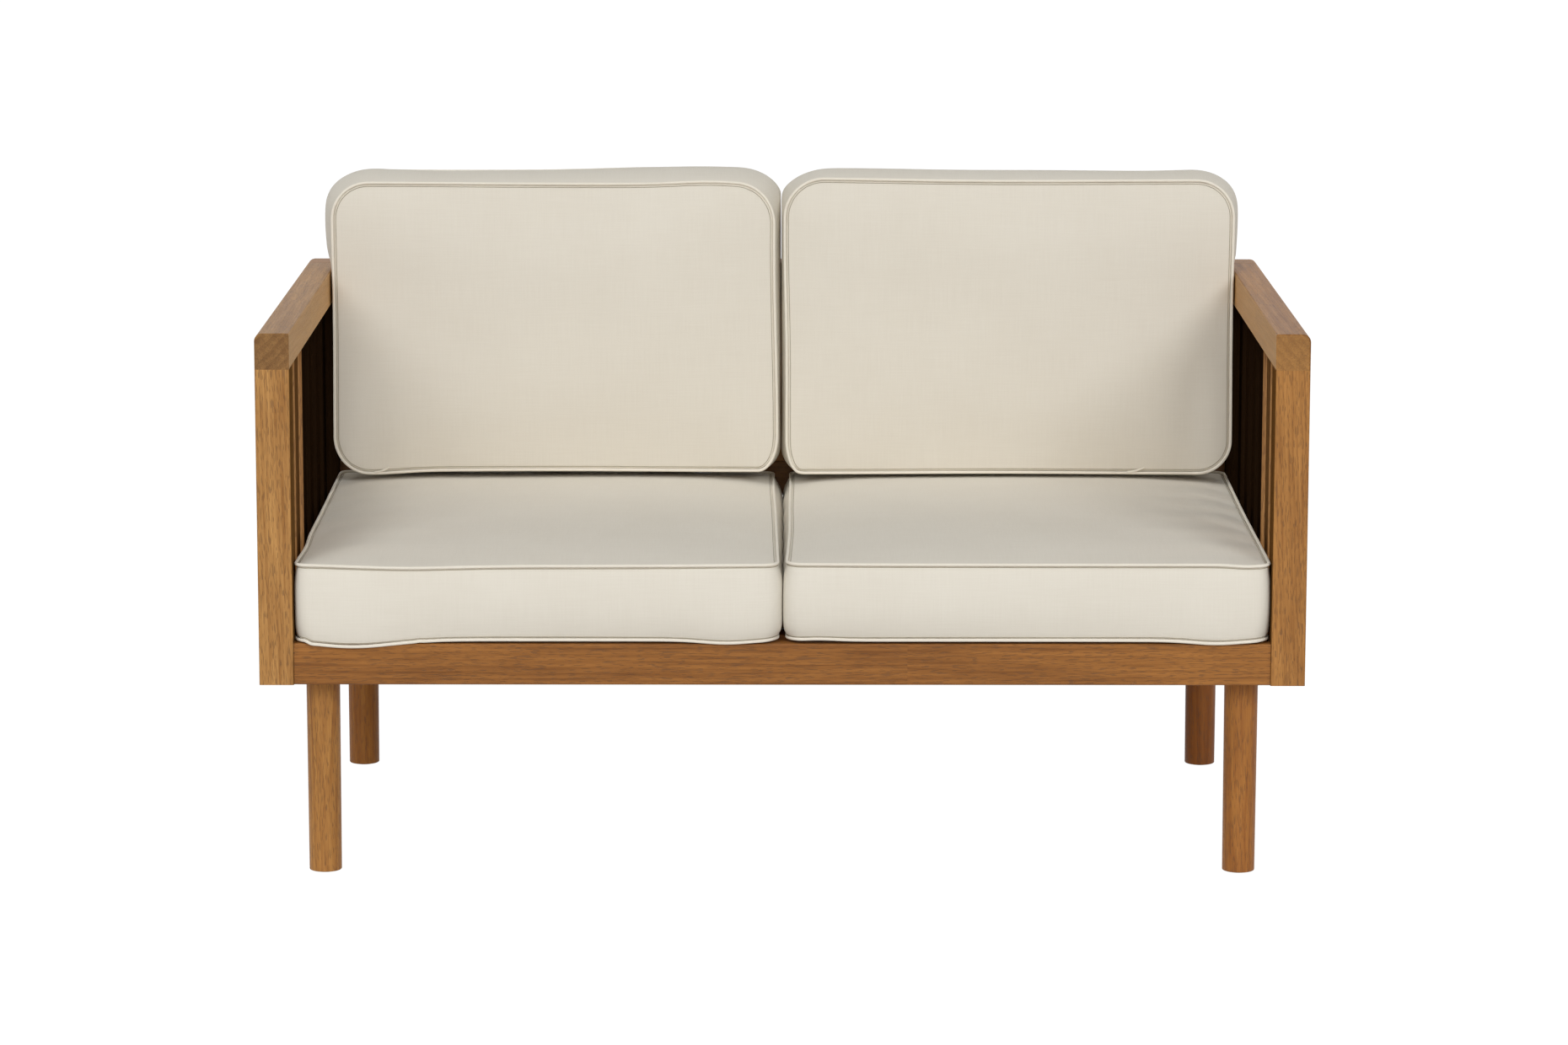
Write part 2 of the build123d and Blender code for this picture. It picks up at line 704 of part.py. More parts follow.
def main():
    os.makedirs("parts", exist_ok=True)
    dowels = bearer_dowels()
    for side, sign in SIDES:
        save("front_post_" + side, front_post(sign))
        save("rear_post_" + side, rear_post(sign))
        save("arm_" + side, arm(sign))
        save("side_rail_" + side, side_rail(sign))
        save("ledger_" + side, ledger(sign))
        for k, middle in enumerate(side_slat_middles(sign), start=1):
            save("side_slat_%s_%d" % (side, k), upright(middle, "Y", seat_rail_top, arm_underside))
        for end_name, end in ENDS:
            save("leg_%s_%s" % (end_name, side), leg(sign, end))
            save("corner_block_%s_%s" % (end_name, side), corner_block(sign, end))
            dowels += side_rail_dowels(sign, end)
        save("seat_cover_" + side, cover(seat_cushion, sign))
        save("seat_foam_" + side, foam_core(seat_cushion, sign))
        save("back_cover_" + side, cover(back_cushion, sign))
        save("back_foam_" + side, foam_core(back_cushion, sign))
        up, back = arm_dowels(sign)
        dowels += up + back + rear_post_dowels(sign)
        dowels += rail_end_dowel(sign, front_rail_mid, rail_dowel_height)
        dowels += rail_end_dowel(sign, rear_rail_mid, rail_dowel_height)
        dowels += rail_end_dowel(sign, back_mid_y, back_dowel_height)
    save("back_top_rail", back_top_rail())
    save("back_lower_rail", back_lower_rail())
    for k, middle in enumerate(back_slat_middles, start=1):
        save("back_slat_%d" % k, upright(middle, "X", back_lower_rail_top, arm_underside))
    save("front_rail", long_seat_rail(-1))
    save("rear_rail", long_seat_rail(1))
    save("centre_bearer", centre_bearer())
    save("seat_slats", group(deck_slat(middle) for middle in deck_slat_middles))
    corners = [(sign, end) for _, sign in SIDES for _, end in ENDS]
    save("leg_hanger_bolts", group(hanger_bolt(*c) for c in corners))
    save("leg_nuts", group(leg_nut(*c) for c in corners))
    save("foot_glides", group(foot_glide(*c) for c in corners))
    save("frame_bolts", group(frame_bolt(s) for s in bolt_sites()))
    save("barrel_nuts", group(barrel_nut(s) for s in bolt_sites()))
    save("joint_dowels", group(dowel(s) for s in dowels))
    fixings = block_screws(-1) + block_screws(1) + ledger_screws(-1) + ledger_screws(1)
    save("frame_screws", group(screw(s) for s in fixings))
    save("deck_screws", group(screw(s) for s in deck_screws()))


main()
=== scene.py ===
import math

import bmesh
import bpy
import numpy as np
from mathutils import Matrix, Vector, noise
from mathutils.bvhtree import BVHTree
from mathutils.kdtree import KDTree


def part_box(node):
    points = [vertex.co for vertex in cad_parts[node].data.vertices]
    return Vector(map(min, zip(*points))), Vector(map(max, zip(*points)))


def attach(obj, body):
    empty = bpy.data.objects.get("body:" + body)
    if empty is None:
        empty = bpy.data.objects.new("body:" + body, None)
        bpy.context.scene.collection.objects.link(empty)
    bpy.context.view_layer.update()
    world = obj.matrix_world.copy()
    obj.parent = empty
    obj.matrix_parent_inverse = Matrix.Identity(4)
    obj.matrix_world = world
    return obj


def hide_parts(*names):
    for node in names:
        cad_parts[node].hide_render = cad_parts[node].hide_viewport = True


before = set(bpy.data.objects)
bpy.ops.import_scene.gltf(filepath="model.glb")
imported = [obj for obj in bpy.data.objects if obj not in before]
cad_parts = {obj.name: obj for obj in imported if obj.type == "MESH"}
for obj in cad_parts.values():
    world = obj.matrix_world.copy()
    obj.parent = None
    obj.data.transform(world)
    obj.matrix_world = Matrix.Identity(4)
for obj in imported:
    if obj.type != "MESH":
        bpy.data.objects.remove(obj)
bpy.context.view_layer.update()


# The camera
# A long lens at standing height, 6.3 m in front of the loveseat and aimed down at the seat,
# so that the arms draw together a little towards the back.
CAMERA_PLACE = (-0.0013, -6.637, 1.537)
CAMERA_TILT_DEG = 80.126
CAMERA_ROLL_DEG = 0.059
CAMERA_YAW_DEG = -0.03
LENS_MM = 120.9
SENSOR_MM = 36.0
scene = bpy.context.scene


def placed(name, data):
    """A new object in the scene."""
    made = bpy.data.objects.new(name, data)
    scene.collection.objects.link(made)
    return made


camera = placed("camera", bpy.data.cameras.new("camera"))
scene.camera = camera
camera.data.lens = LENS_MM
camera.data.sensor_width = SENSOR_MM
camera.location = CAMERA_PLACE
turn = Matrix.Rotation(math.radians(CAMERA_YAW_DEG), 3, "Z")
turn = turn @ Matrix.Rotation(math.radians(CAMERA_TILT_DEG), 3, "X")
turn = turn @ Matrix.Rotation(math.radians(CAMERA_ROLL_DEG), 3, "Z")
camera.rotation_euler = turn.to_euler()


# The studio
# A seamless white floor under seven broad lamps: one low in front, one ahead on each side, one high
# on the left, weaker ones at both ends and one behind. The low ones are a little warmer. A faint pale
# sky fills what they miss, and the floor keeps the shadow.
FLOOR_REACH = 40.0
FLOOR_WHITE = 0.9
FLOOR_GLOW_SHARE = 0.9
FLOOR_GLOW = 1.1
SKY_STRENGTH = 0.14
LAMP_SPREAD_DEG = 22.0
WARM = (1.0, 0.893, 0.786)
COOL = (0.932, 0.966, 1.0)
LAMPS = {
    "lamp_low": (0.0, 12.0, 0.49, WARM),
    "lamp_left": (-25.0, 28.0, 0.62, COOL),
    "lamp_right": (25.0, 28.0, 0.96, COOL),
    "lamp_high": (-32.0, 65.0, 0.70, COOL),
    "lamp_left_end": (-90.0, 20.0, 0.23, WARM),
    "lamp_right_end": (90.0, 20.0, 0.29, WARM),
    "lamp_rear": (180.0, 40.0, 0.20, COOL),
}


def step(tree, kind, inputs=None, **settings):
    """One shader node: settings are its own options, inputs are the values or sockets that feed it."""
    node = tree.nodes.new("ShaderNode" + kind)
    for key, value in settings.items():
        setattr(node, key, value)
    for key, value in (inputs or {}).items():
        if isinstance(value, bpy.types.NodeSocket):
            tree.links.new(value, node.inputs[key])
        else:
            node.inputs[key].default_value = value
    return node


def sums(tree, operation, *values):
    """A sum, product or comparison of sockets and numbers."""
    return step(tree, "Math", dict(enumerate(values)), operation=operation).outputs[0]


def new_tree(name):
    """A material whose node tree is empty but for its output."""
    material = bpy.data.materials.new(name)
    material.use_nodes = True
    material.node_tree.nodes.clear()
    return material, material.node_tree


def shown(material, surface):
    """Sends a shader to a material's output."""
    step(material.node_tree, "OutputMaterial", {"Surface": surface.outputs[0]})
    return material


def seen_directly(tree):
    """Is 1 for what the camera, a mirror or a glass sees, and 0 for what lights the scene."""
    path = step(tree, "LightPath").outputs
    either = sums(tree, "MAXIMUM", path["Is Camera Ray"], path["Is Glossy Ray"])
    return sums(tree, "MAXIMUM", either, path["Is Transmission Ray"])


scene.view_settings.view_transform = "Standard"
scene.world = bpy.data.worlds.new("studio")
scene.world.use_nodes = True
sky = scene.world.node_tree
sky.nodes.clear()
dim = step(sky, "Background", {"Color": (1, 1, 1, 1), "Strength": SKY_STRENGTH})
bright = step(sky, "Background", {"Color": (1, 1, 1, 1), "Strength": 1.0})
either_sky = step(sky, "MixShader", {0: seen_directly(sky), 1: dim.outputs[0], 2: bright.outputs[0]})
step(sky, "OutputWorld", {"Surface": either_sky.outputs[0]})

for name, (side_deg, height_deg, strength, tint) in LAMPS.items():
    lamp = placed(name, bpy.data.lights.new(name, "SUN"))
    lamp.data.energy = strength
    lamp.data.color = tint
    lamp.data.angle = math.radians(LAMP_SPREAD_DEG)
    lamp.rotation_euler = (math.radians(90 - height_deg), 0, math.radians(side_deg))

floor_mesh = bpy.data.meshes.new("floor")
corners = [(x * FLOOR_REACH, y * FLOOR_REACH, 0) for x, y in ((-1, -1), (1, -1), (1, 1), (-1, 1))]
floor_mesh.from_pydata(corners, [], [(0, 1, 2, 3)])
floor = placed("floor", floor_mesh)
floor_material, tree = new_tree("floor_white")
matt = step(tree, "BsdfDiffuse", {"Color": (FLOOR_WHITE,) * 3 + (1,)})
glow = step(tree, "Emission", {"Color": (1, 1, 1, 1), "Strength": FLOOR_GLOW})
share = sums(tree, "MULTIPLY", seen_directly(tree), FLOOR_GLOW_SHARE)
mixed = step(tree, "MixShader", {0: share, 1: matt.outputs[0], 2: glow.outputs[0]})
floor_mesh.materials.append(shown(floor_material, mixed))


# Side frames
# Posts, arms, side rails and upright slats of oiled hardwood, planed and lightly rounded along
# their edges. The arms lie over the front posts and show their end grain to the front. The faces
# turned to the cushions, and the front faces of the rear posts and of the rear slats, carry painted
# shade, nearly black, for the deep shadow beside the cushions. The arms' inner faces, and in part the
# right arm's front end, carry painted light.
RING_GAP = 0.0048
ARM_RING_GAP = 0.0098
OCHRE = ((189, 139, 78), (136, 90, 42))
RUSSET = ((173, 115, 55), (118, 72, 30))
UMBER = ((179, 130, 78), (125, 82, 42))
POST_TONES = {
    "left": ((205, 154, 90), (149, 101, 50)),
    "right": ((186, 131, 69), (132, 84, 38)),
}
ARM_TONES = {
    "left": ((180, 135, 78), (130, 90, 47)),
    "right": ((170, 119, 61), (121, 77, 34)),
}
ARM_END_STAIN = {"left": 0.28, "right": 0.05}
ARM_SPLICE = {"left": -0.062, "right": -0.09}
END_STAIN = 0.28
# Painted shade: a nearly black colour laid over faces in the deep shadow beside the cushions, how much of
# it covers them, and a thinner share for faces nearer the front.
PAINTED_SHADE = (22, 13, 7)
PAINTED_SHADE_SHARE = 0.98
THIN_PAINTED_SHADE_SHARE = 0.62
# Painted light: a paler colour laid over the arms' inner faces, which stand in brighter light, and how much
# of it covers them.
PAINTED_LIGHT = (206, 158, 98)
PAINTED_LIGHT_SHARE = 0.5
OIL_SHEEN = 0.22
OIL_ROUGHNESS = 0.5
GRAIN_DEPTH = 0.00025
# For each layer of the grain: how far it is drawn out along the board, how fine and how detailed it
# is, between which values it darkens the wood, and how much.
GRAIN = {
    "fibre": (0.012, 620.0, 3.0, 0.30, 0.72, 0.20),
    "streak": (0.02, 110.0, 2.0, 0.34, 0.70, 0.26),
    "short streak": (0.05, 300.0, 2.0, 0.42, 0.72, 0.22),
    "mottle": (0.2, 45.0, 2.0, 0.36, 0.70, 0.16),
    "tone": (0.14, 11.0, 2.0, 0.32, 0.70, 0.28),
}
RING_SHARE = 0.18
END_RING_SHARE = 0.08
PORE_SHARE = 0.55
SPLICE_SHIFT = 0.037
BOARD_SHIFT = 0.023
SIDE_SLATS = 6
KNOT_RADIUS = 0.0024
KNOT_BROWN = (58, 34, 20)
PORE_BROWN = (0.10, 0.05, 0.025, 1)
END_BROWN = (0.11, 0.06, 0.035, 1)
FINISH_OUTPUTS = {"Colour": "Color", "Roughness": "Float", "Height": "Float"}


def paint(rgb):
    """A colour as a screen shows it, from 0 to 255, as the linear colour that shaders take."""
    linear = [(c / 255 / 12.92) if c < 11 else ((c / 255 + 0.055) / 1.055) ** 2.4 for c in rgb]
    return (*linear, 1.0)


def colour_mix(tree, factor, first, second, blend_type="MIX"):
    inputs = {0: factor, 6: first, 7: second}
    return step(tree, "Mix", inputs, data_type="RGBA", blend_type=blend_type).outputs[2]


def vectors(tree, operation, *values, output="Vector"):
    """A sum or product of vectors, or with the output named Value a measure of them."""
    return step(tree, "VectorMath", dict(enumerate(values)), operation=operation).outputs[output]


def patch(tree, point, stretch, scale, detail=2.0):
    """Soft noise, from 0 to 1, drawn out or squeezed along the three axes of a point."""
    drawn = vectors(tree, "MULTIPLY", point, stretch)
    return step(tree, "TexNoise", {"Vector": drawn, "Scale": scale, "Detail": detail}).outputs["Fac"]


def rise(tree, value, low, high):
    """Climbs smoothly from 0 to 1 while the value goes from low to high."""
    settings = {"interpolation_type": "SMOOTHSTEP"}
    return step(tree, "MapRange", {"Value": value, 1: low, 2: high}, **settings).outputs[0]


def new_group(name, inputs, outputs):
    """A shader node group with named inputs and outputs, and the two nodes that hold them."""
    group = bpy.data.node_groups.new(name, "ShaderNodeTree")
    for label, kind in inputs.items():
        group.interface.new_socket(label, in_out="INPUT", socket_type="NodeSocket" + kind)
    for label, kind in outputs.items():
        group.interface.new_socket(label, in_out="OUTPUT", socket_type="NodeSocket" + kind)
    return group, group.nodes.new("NodeGroupInput").outputs, group.nodes.new("NodeGroupOutput").inputs


def timber_group():
    """Growth rings round a pith, fibres, streaks and pores; the grain runs along Z of the point."""
    names = {"Point": "Vector", "End": "Float", "Pale": "Color", "Deep": "Color", "Ring Gap": "Float"}
    names.update({"Figure": "Float", "Pores": "Float", "End Stain": "Float"})
    group, given, made = new_group("timber", names, FINISH_OUTPUTS)
    point = given["Point"]
    wander = patch(group, point, (1, 1, 0.16), 8.0)
    ripple = patch(group, point, (1, 1, 0.05), 46.0, 1.0)
    flat = vectors(group, "MULTIPLY", point, (1, 1, 0))
    radius = vectors(group, "LENGTH", flat, output="Value")
    drift = sums(group, "MULTIPLY_ADD", wander, given["Figure"], radius)
    drift = sums(group, "MULTIPLY_ADD", ripple, sums(group, "MULTIPLY", given["Figure"], 0.05), drift)
    turn_of_ring = sums(group, "FRACT", sums(group, "DIVIDE", drift, given["Ring Gap"]))
    late = rise(group, turn_of_ring, 0.15, 0.88)
    drop = rise(group, turn_of_ring, 0.90, 1.0)
    ring = sums(group, "SUBTRACT", late, drop)
    ring_share = sums(group, "MULTIPLY_ADD", given["End"], END_RING_SHARE, RING_SHARE)
    dark = sums(group, "MULTIPLY", ring, ring_share)
    layers = {}
    for layer, (stretch, scale, detail, low, high, share) in GRAIN.items():
        layers[layer] = patch(group, point, (1, 1, stretch), scale, detail)
        dark = sums(group, "MULTIPLY_ADD", rise(group, layers[layer], low, high), share, dark)
    colour = colour_mix(group, dark, given["Pale"], given["Deep"])
    fleck = patch(group, point, (1, 1, 0.085), 980.0, 0.0)
    pore = sums(group, "MULTIPLY", rise(group, fleck, 0.60, 0.69), given["Pores"])
    colour = colour_mix(group, sums(group, "MULTIPLY", pore, PORE_SHARE), colour, PORE_BROWN)
    ends = sums(group, "MULTIPLY", given["End"], given["End Stain"])
    colour = colour_mix(group, ends, colour, END_BROWN)
    group.links.new(colour, made["Colour"])
    fibre = layers["fibre"]
    rough = sums(group, "MULTIPLY_ADD", fibre, 0.16, OIL_ROUGHNESS - 0.08)
    group.links.new(sums(group, "MULTIPLY_ADD", given["End"], 0.2, rough), made["Roughness"])
    low = sums(group, "MULTIPLY_ADD", pore, -1.6, sums(group, "MULTIPLY", fibre, 0.8))
    group.links.new(sums(group, "MULTIPLY_ADD", ring, -0.3, low), made["Height"])
    return group


timber = timber_group()
ALONG = {"X": (0, -math.pi / 2, 0), "Y": (math.pi / 2, 0, 0), "Z": (0, 0, 0)}


def board_finish(name, grain, tones, pith, ring_gap=RING_GAP, figure=0.016, tilt=0.0, end_stain=END_STAIN,
                 pores=0.8, splice=None, knot=None, pitch=None, side=None):
    """The oiled finish of one board.

    grain is the axis that it is sawn along, pith is how far the heart of the tree lay to its side, tilt
    is the angle at which the saw went through the rings, splice is where along the grain two lengths
    are joined, each with grain of its own, knot is the place of a small knot, and pitch is how far apart
    like boards lie along Y. side is the way that some faces are turned, the colour painted over them and
    how far it covers the wood: painted shade, which also takes the sheen away, or painted light.
    """
    material, tree = new_tree(name)
    place = step(tree, "TexCoord")
    upright = {"Rotation": ALONG[grain]}
    turned = step(tree, "Mapping", {"Vector": place.outputs["Object"], **upright}).outputs[0]
    facing = step(tree, "Mapping", {"Vector": place.outputs["Normal"], **upright}).outputs[0]
    end = sums(tree, "ABSOLUTE", step(tree, "SeparateXYZ", {0: facing}).outputs["Z"])
    shifted = step(tree, "Mapping", {"Vector": turned, "Rotation": (tilt, tilt, 0)}).outputs[0]
    shifted = vectors(tree, "ADD", shifted, (*pith, sum(pith) * 7))
    if splice is not None:
        run = step(tree, "SeparateXYZ", {0: turned}).outputs["Z"]
        past = sums(tree, "GREATER_THAN", run, splice)
        jump = step(tree, "CombineXYZ", {0: sums(tree, "MULTIPLY", past, SPLICE_SHIFT), 2: past})
        shifted = vectors(tree, "ADD", shifted, jump.outputs[0])
    if pitch is not None:
        across = step(tree, "SeparateXYZ", {0: place.outputs["Object"]}).outputs["Y"]
        number = sums(tree, "FLOOR", sums(tree, "DIVIDE", across, pitch))
        jump = step(tree, "CombineXYZ", {0: sums(tree, "MULTIPLY", number, BOARD_SHIFT), 2: number})
        shifted = vectors(tree, "ADD", shifted, jump.outputs[0])
    given = {"Point": shifted, "End": rise(tree, end, 0.55, 0.9), "Ring Gap": ring_gap, "Figure": figure}
    given.update({"Pale": paint(tones[0]), "Deep": paint(tones[1]), "Pores": pores, "End Stain": end_stain})
    wood = step(tree, "Group", given, node_tree=timber)
    bump = step(tree, "Bump", {"Height": wood.outputs["Height"], "Distance": GRAIN_DEPTH, "Strength": 0.7})
    colour = wood.outputs["Colour"]
    if knot is not None:
        away = vectors(tree, "DISTANCE", place.outputs["Object"], knot, output="Value")
        beyond = rise(tree, away, KNOT_RADIUS * 0.5, KNOT_RADIUS * 1.5)
        inside = sums(tree, "SUBTRACT", 1.0, beyond)
        colour = colour_mix(tree, inside, colour, paint(KNOT_BROWN))
    surface = step(tree, "BsdfPrincipled", {"Normal": bump.outputs[0], "Specular IOR Level": OIL_SHEEN})
    # Painted shade or painted light on the faces turned one way.
    if side is not None:
        way, tone, share = side
        turned_to = vectors(tree, "DOT_PRODUCT", place.outputs["Normal"], way, output="Value")
        painted_cover = rise(tree, turned_to, 0.5, 0.9)
        colour = colour_mix(tree, sums(tree, "MULTIPLY", painted_cover, share), colour, paint(tone))
        # On painted shade the sheen is taken away too, so that no reflection lightens it.
        if tone == PAINTED_SHADE:
            painted_shade_sheen = sums(tree, "MULTIPLY_ADD", painted_cover, -OIL_SHEEN, OIL_SHEEN)
            tree.links.new(painted_shade_sheen, surface.inputs["Specular IOR Level"])
    tree.links.new(colour, surface.inputs["Base Color"])
    tree.links.new(wood.outputs["Roughness"], surface.inputs["Roughness"])
    return shown(material, surface)


def dress(node, material):
    """Gives a piece of the frame its finish."""
    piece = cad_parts[node]
    if not piece.material_slots:
        piece.data.materials.append(material)
    for place in piece.material_slots:
        place.link = "OBJECT"
        place.material = material


def dress_board(node, *sawn, **marks):
    """Gives a board of the frame a finish of its own."""
    dress(node, board_finish(node, *sawn, **marks))


for side, pith_side in (("left", -0.11), ("right", 0.09)):
    inward = 1 if side == "left" else -1
    # Painted shade, thinner, on the front posts' inner faces.
    painted_shade_side = ((inward, 0, 0), PAINTED_SHADE, THIN_PAINTED_SHADE_SHARE)
    dress_board("front_post_" + side, "Z", POST_TONES[side], (pith_side, 0.035), tilt=0.03, side=painted_shade_side)
    # Painted shade on the rear posts' inner and front faces.
    painted_shade_side = ((inward, -1, 0), PAINTED_SHADE, PAINTED_SHADE_SHARE)
    dress_board("rear_post_" + side, "Z", OCHRE, (-pith_side, 0.06), side=painted_shade_side)
    # Painted light on the arms' inner faces, and on the right arm in part on its front end.
    painted_light_side = ((inward, -0.68 if side == "right" else 0, 0), PAINTED_LIGHT, PAINTED_LIGHT_SHARE)
    arm_shape = {"ring_gap": ARM_RING_GAP, "figure": 0.024, "tilt": 0.01, "side": painted_light_side}
    arm_shape.update({"end_stain": ARM_END_STAIN[side], "splice": ARM_SPLICE[side]})
    dress_board("arm_" + side, "Y", ARM_TONES[side], (pith_side * 0.5, 0.05), **arm_shape)
    dress_board("side_rail_" + side, "Y", RUSSET, (0.13, pith_side))
    for k in range(1, SIDE_SLATS + 1):
        node = "side_slat_%s_%d" % (side, k)
        # Painted shade on the slats' inner faces, thinner on the first two, and from the fourth slat on
        # their front faces too.
        share = PAINTED_SHADE_SHARE if k > 2 else THIN_PAINTED_SHADE_SHARE
        painted_shade_side = ((inward, -1 if k > 3 else 0, 0), PAINTED_SHADE, share)
        dress_board(node, "Z", UMBER, (0.05 + 0.021 * k, pith_side), side=painted_shade_side)


# Back frame
# A top rail over the rear posts, a lower rail between them, and upright slats in mortises.
# The lower rail's dark olive tones are painted shade, for the shadow in the cleft between the cushions.
LOWER_RAIL_PAINTED_SHADE = ((120, 85, 45), (80, 52, 26))
BACK_SLATS = 7

dress_board("back_top_rail", "X", UMBER, (0.08, 0.05), splice=-0.21)
dress_board("back_lower_rail", "X", LOWER_RAIL_PAINTED_SHADE, (0.15, 0.04), splice=0.09)
for k in range(1, BACK_SLATS + 1):
    tones = (OCHRE, UMBER, RUSSET)[k % 3]
    dress_board("back_slat_%d" % k, "Z", tones, (0.03 + 0.017 * k, -0.06 + 0.013 * k))


# Seat box
# Four rails round a deck of slats; the long front rail is glued up from two lengths, which differ
# a little in colour. Blocks in the corners carry the legs.
DECK_SLAT_PITCH = 0.10857

dress_board("front_rail", "X", RUSSET, (0.05, 0.075), figure=0.02, tilt=0.012, splice=0.152)
dress_board("rear_rail", "X", RUSSET, (0.09, 0.055), figure=0.02, splice=-0.18)
dress_board("centre_bearer", "Y", OCHRE, (0.05, 0.02))
dress_board("seat_slats", "X", RUSSET, (0.02, 0.07), splice=0.11, pitch=DECK_SLAT_PITCH)
for side, pith_side in (("left", -0.08), ("right", 0.07)):
    dress_board("ledger_" + side, "Y", OCHRE, (pith_side, 0.04))
    for end, pith_end in (("front", 0.03), ("rear", 0.06)):
        dress_board("corner_block_%s_%s" % (end, side), "X", UMBER, (pith_side, pith_end))


# Legs
# Turned from the same hardwood, nearly straight, with the grain upright and small rounds at both
# ends. One at the back has a small knot in it.
LEG_TONES = {
    "leg_front_left": ((197, 143, 76), (143, 92, 44)),
    "leg_front_right": ((182, 123, 59), (132, 77, 33)),
    # The rear legs' deeper tones are partly the wood's own and partly painted shade, for the shadow under
    # the seat.
    "leg_rear_left": ((175, 118, 53), (127, 74, 28)),
    "leg_rear_right": ((149, 90, 35), (107, 56, 18)),
}
LEG_OUT = 0.563
LEG_KNOT = (-LEG_OUT, 0.286, 0.2265)
LEG_TAPER = 0.0007
LEG_ROUND = 0.0012
LEG_SIDES = 72


def smooth_mesh(name, points, faces):
    """A smooth-shaded mesh object in the scene."""
    mesh = bpy.data.meshes.new(name)
    mesh.from_pydata([tuple(p) for p in points], [], faces)
    mesh.shade_smooth()
    return placed(name, mesh)


def quads(rows, closed=True):
    """Four-sided faces between each row of points and the next."""
    faces = []
    for below, above in zip(rows, rows[1:]):
        for k in range(len(below) if closed else len(below) - 1):
            after = (k + 1) % len(below)
            faces.append((below[k], below[after], above[after], above[k]))
    return faces


def belong(piece, material, body):
    """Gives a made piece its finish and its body."""
    piece.data.materials.clear()
    piece.data.materials.append(material)
    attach(piece, body)


def turned_leg(node, material):
    """One leg as it comes off the lathe, in place of its plainer solid."""
    low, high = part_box(node)
    middle = [(l + h) / 2 for l, h in zip(low, high)]
    top = (high[0] - low[0]) / 2
    foot = top - LEG_TAPER
    bend = np.linspace(0, math.pi / 2, 6)
    run = np.linspace(0.04, 0.96, 12)
    tall = high[2] - low[2]
    over = LEG_ROUND * (1 - np.sin(bend))
    back = LEG_ROUND * (1 - np.cos(bend))
    radius = np.concatenate(([0], foot - over, foot + (top - foot) * run, top - back * 0.5, [0]))
    height = np.concatenate(([0], back, tall * run, tall - over * 0.5, [tall])) + low[2]
    around = np.linspace(0, 2 * math.pi, LEG_SIDES, endpoint=False)
    x = middle[0] + np.outer(radius, np.cos(around))
    y = middle[1] + np.outer(radius, np.sin(around))
    points = np.column_stack((x.ravel(), y.ravel(), np.repeat(height, LEG_SIDES)))
    rows = np.arange(len(points)).reshape(-1, LEG_SIDES).tolist()
    leg = smooth_mesh("turned_" + node, points, quads(rows))
    belong(leg, material, "frame")
    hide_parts(node)


for side, pith_side in (("left", 0.034), ("right", -0.041)):
    for end, pith_end in (("front", 0.045), ("rear", 0.028)):
        node = "leg_%s_%s" % (end, side)
        pith = (LEG_OUT * (1 if side == "left" else -1) + pith_side, pith_end)
        knot = LEG_KNOT if node == "leg_rear_left" else None
        turned_leg(node, board_finish(node, "Z", LEG_TONES[node], pith, tilt=0.02, knot=knot))


# Fastenings
# Zinc-plated steel bolts, nuts and screws, and beech dowels inside the glued joints.
ZINC = (176, 178, 180)
ZINC_ROUGHNESS = 0.34
BEECH = ((226, 196, 152), (196, 160, 116))


def zinc_finish():
    """Zinc plate: a cloudy, slightly dulled metal."""
    material, tree = new_tree("zinc_plate")
    place = step(tree, "TexCoord").outputs["Object"]
    cloud = patch(tree, place, (1, 1, 1), 260.0, 3.0)
    colour = colour_mix(tree, cloud, paint(ZINC), paint([c * 0.82 for c in ZINC]))
    surface = step(tree, "BsdfPrincipled", {"Base Color": colour, "Metallic": 1.0})
    rough = sums(tree, "MULTIPLY_ADD", cloud, 0.2, ZINC_ROUGHNESS - 0.1)
    tree.links.new(rough, surface.inputs["Roughness"])
    return shown(material, surface)


zinc = zinc_finish()
for node in ("leg_hanger_bolts", "leg_nuts", "frame_bolts", "barrel_nuts", "frame_screws", "deck_screws"):
    dress(node, zinc)
dress_board("joint_dowels", "Z", BEECH, (0.4, 0.3), pores=0.2)


# Foot glides
# Black nylon pads, 1 mm thick, nailed under the legs.
NYLON = ((38, 36, 34), (58, 55, 52))


def nylon_finish():
    """Dull nylon with a fine speckle."""
    material, tree = new_tree("glide_nylon")
    place = step(tree, "TexCoord").outputs["Object"]
    speck = patch(tree, place, (1, 1, 1), 900.0)
    colour = colour_mix(tree, speck, paint(NYLON[0]), paint(NYLON[1]))
    bump = step(tree, "Bump", {"Height": speck, "Distance": 0.0002, "Strength": 0.5})
    inputs = {"Base Color": colour, "Roughness": 0.6, "Normal": bump.outputs[0]}
    return shown(material, step(tree, "BsdfPrincipled", inputs))


dress("foot_glides", nylon_finish())


# Seat cushions
# Two loose cushions, each a foam core in a boxed cover of plain-woven outdoor cloth: a top panel, a
# bottom panel and a boxing strip, sewn together with piping in both seams. A zip closes the rear.
SEAT_CROWN = 0.013
SEAT_SEAM_RISE = 0.0047
SEAT_SEAM_INSET = 0.002
SEAT_COUNTS = (84, 100)
SEAT_MIDLINE = 0.0011
SEAT_LOWER_RADIUS = 0.024
SEAM_PULL = 0.001
CORNER_STEPS = 16
SIDE_STEPS = 160
CROWN_POWER = 6
BOXING_ROWS = 12
BETWEEN_POSTS = 0.5926
TOUCHING_ROOM = 0.0004
WANDER = 0.0012
WANDER_RUN = 0.018
DECK_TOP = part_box("seat_slats")[1][2]
RAIL_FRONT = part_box("front_rail")[0][1]
BACK_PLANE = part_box("back_slat_1")[0][1]
PIPING_RADIUS = 0.0020
PIPING_PROUD = 0.0011
PIPING_TAIL = 0.026
TAIL_START = 0.0010
TAIL_DEPTH = 0.0065
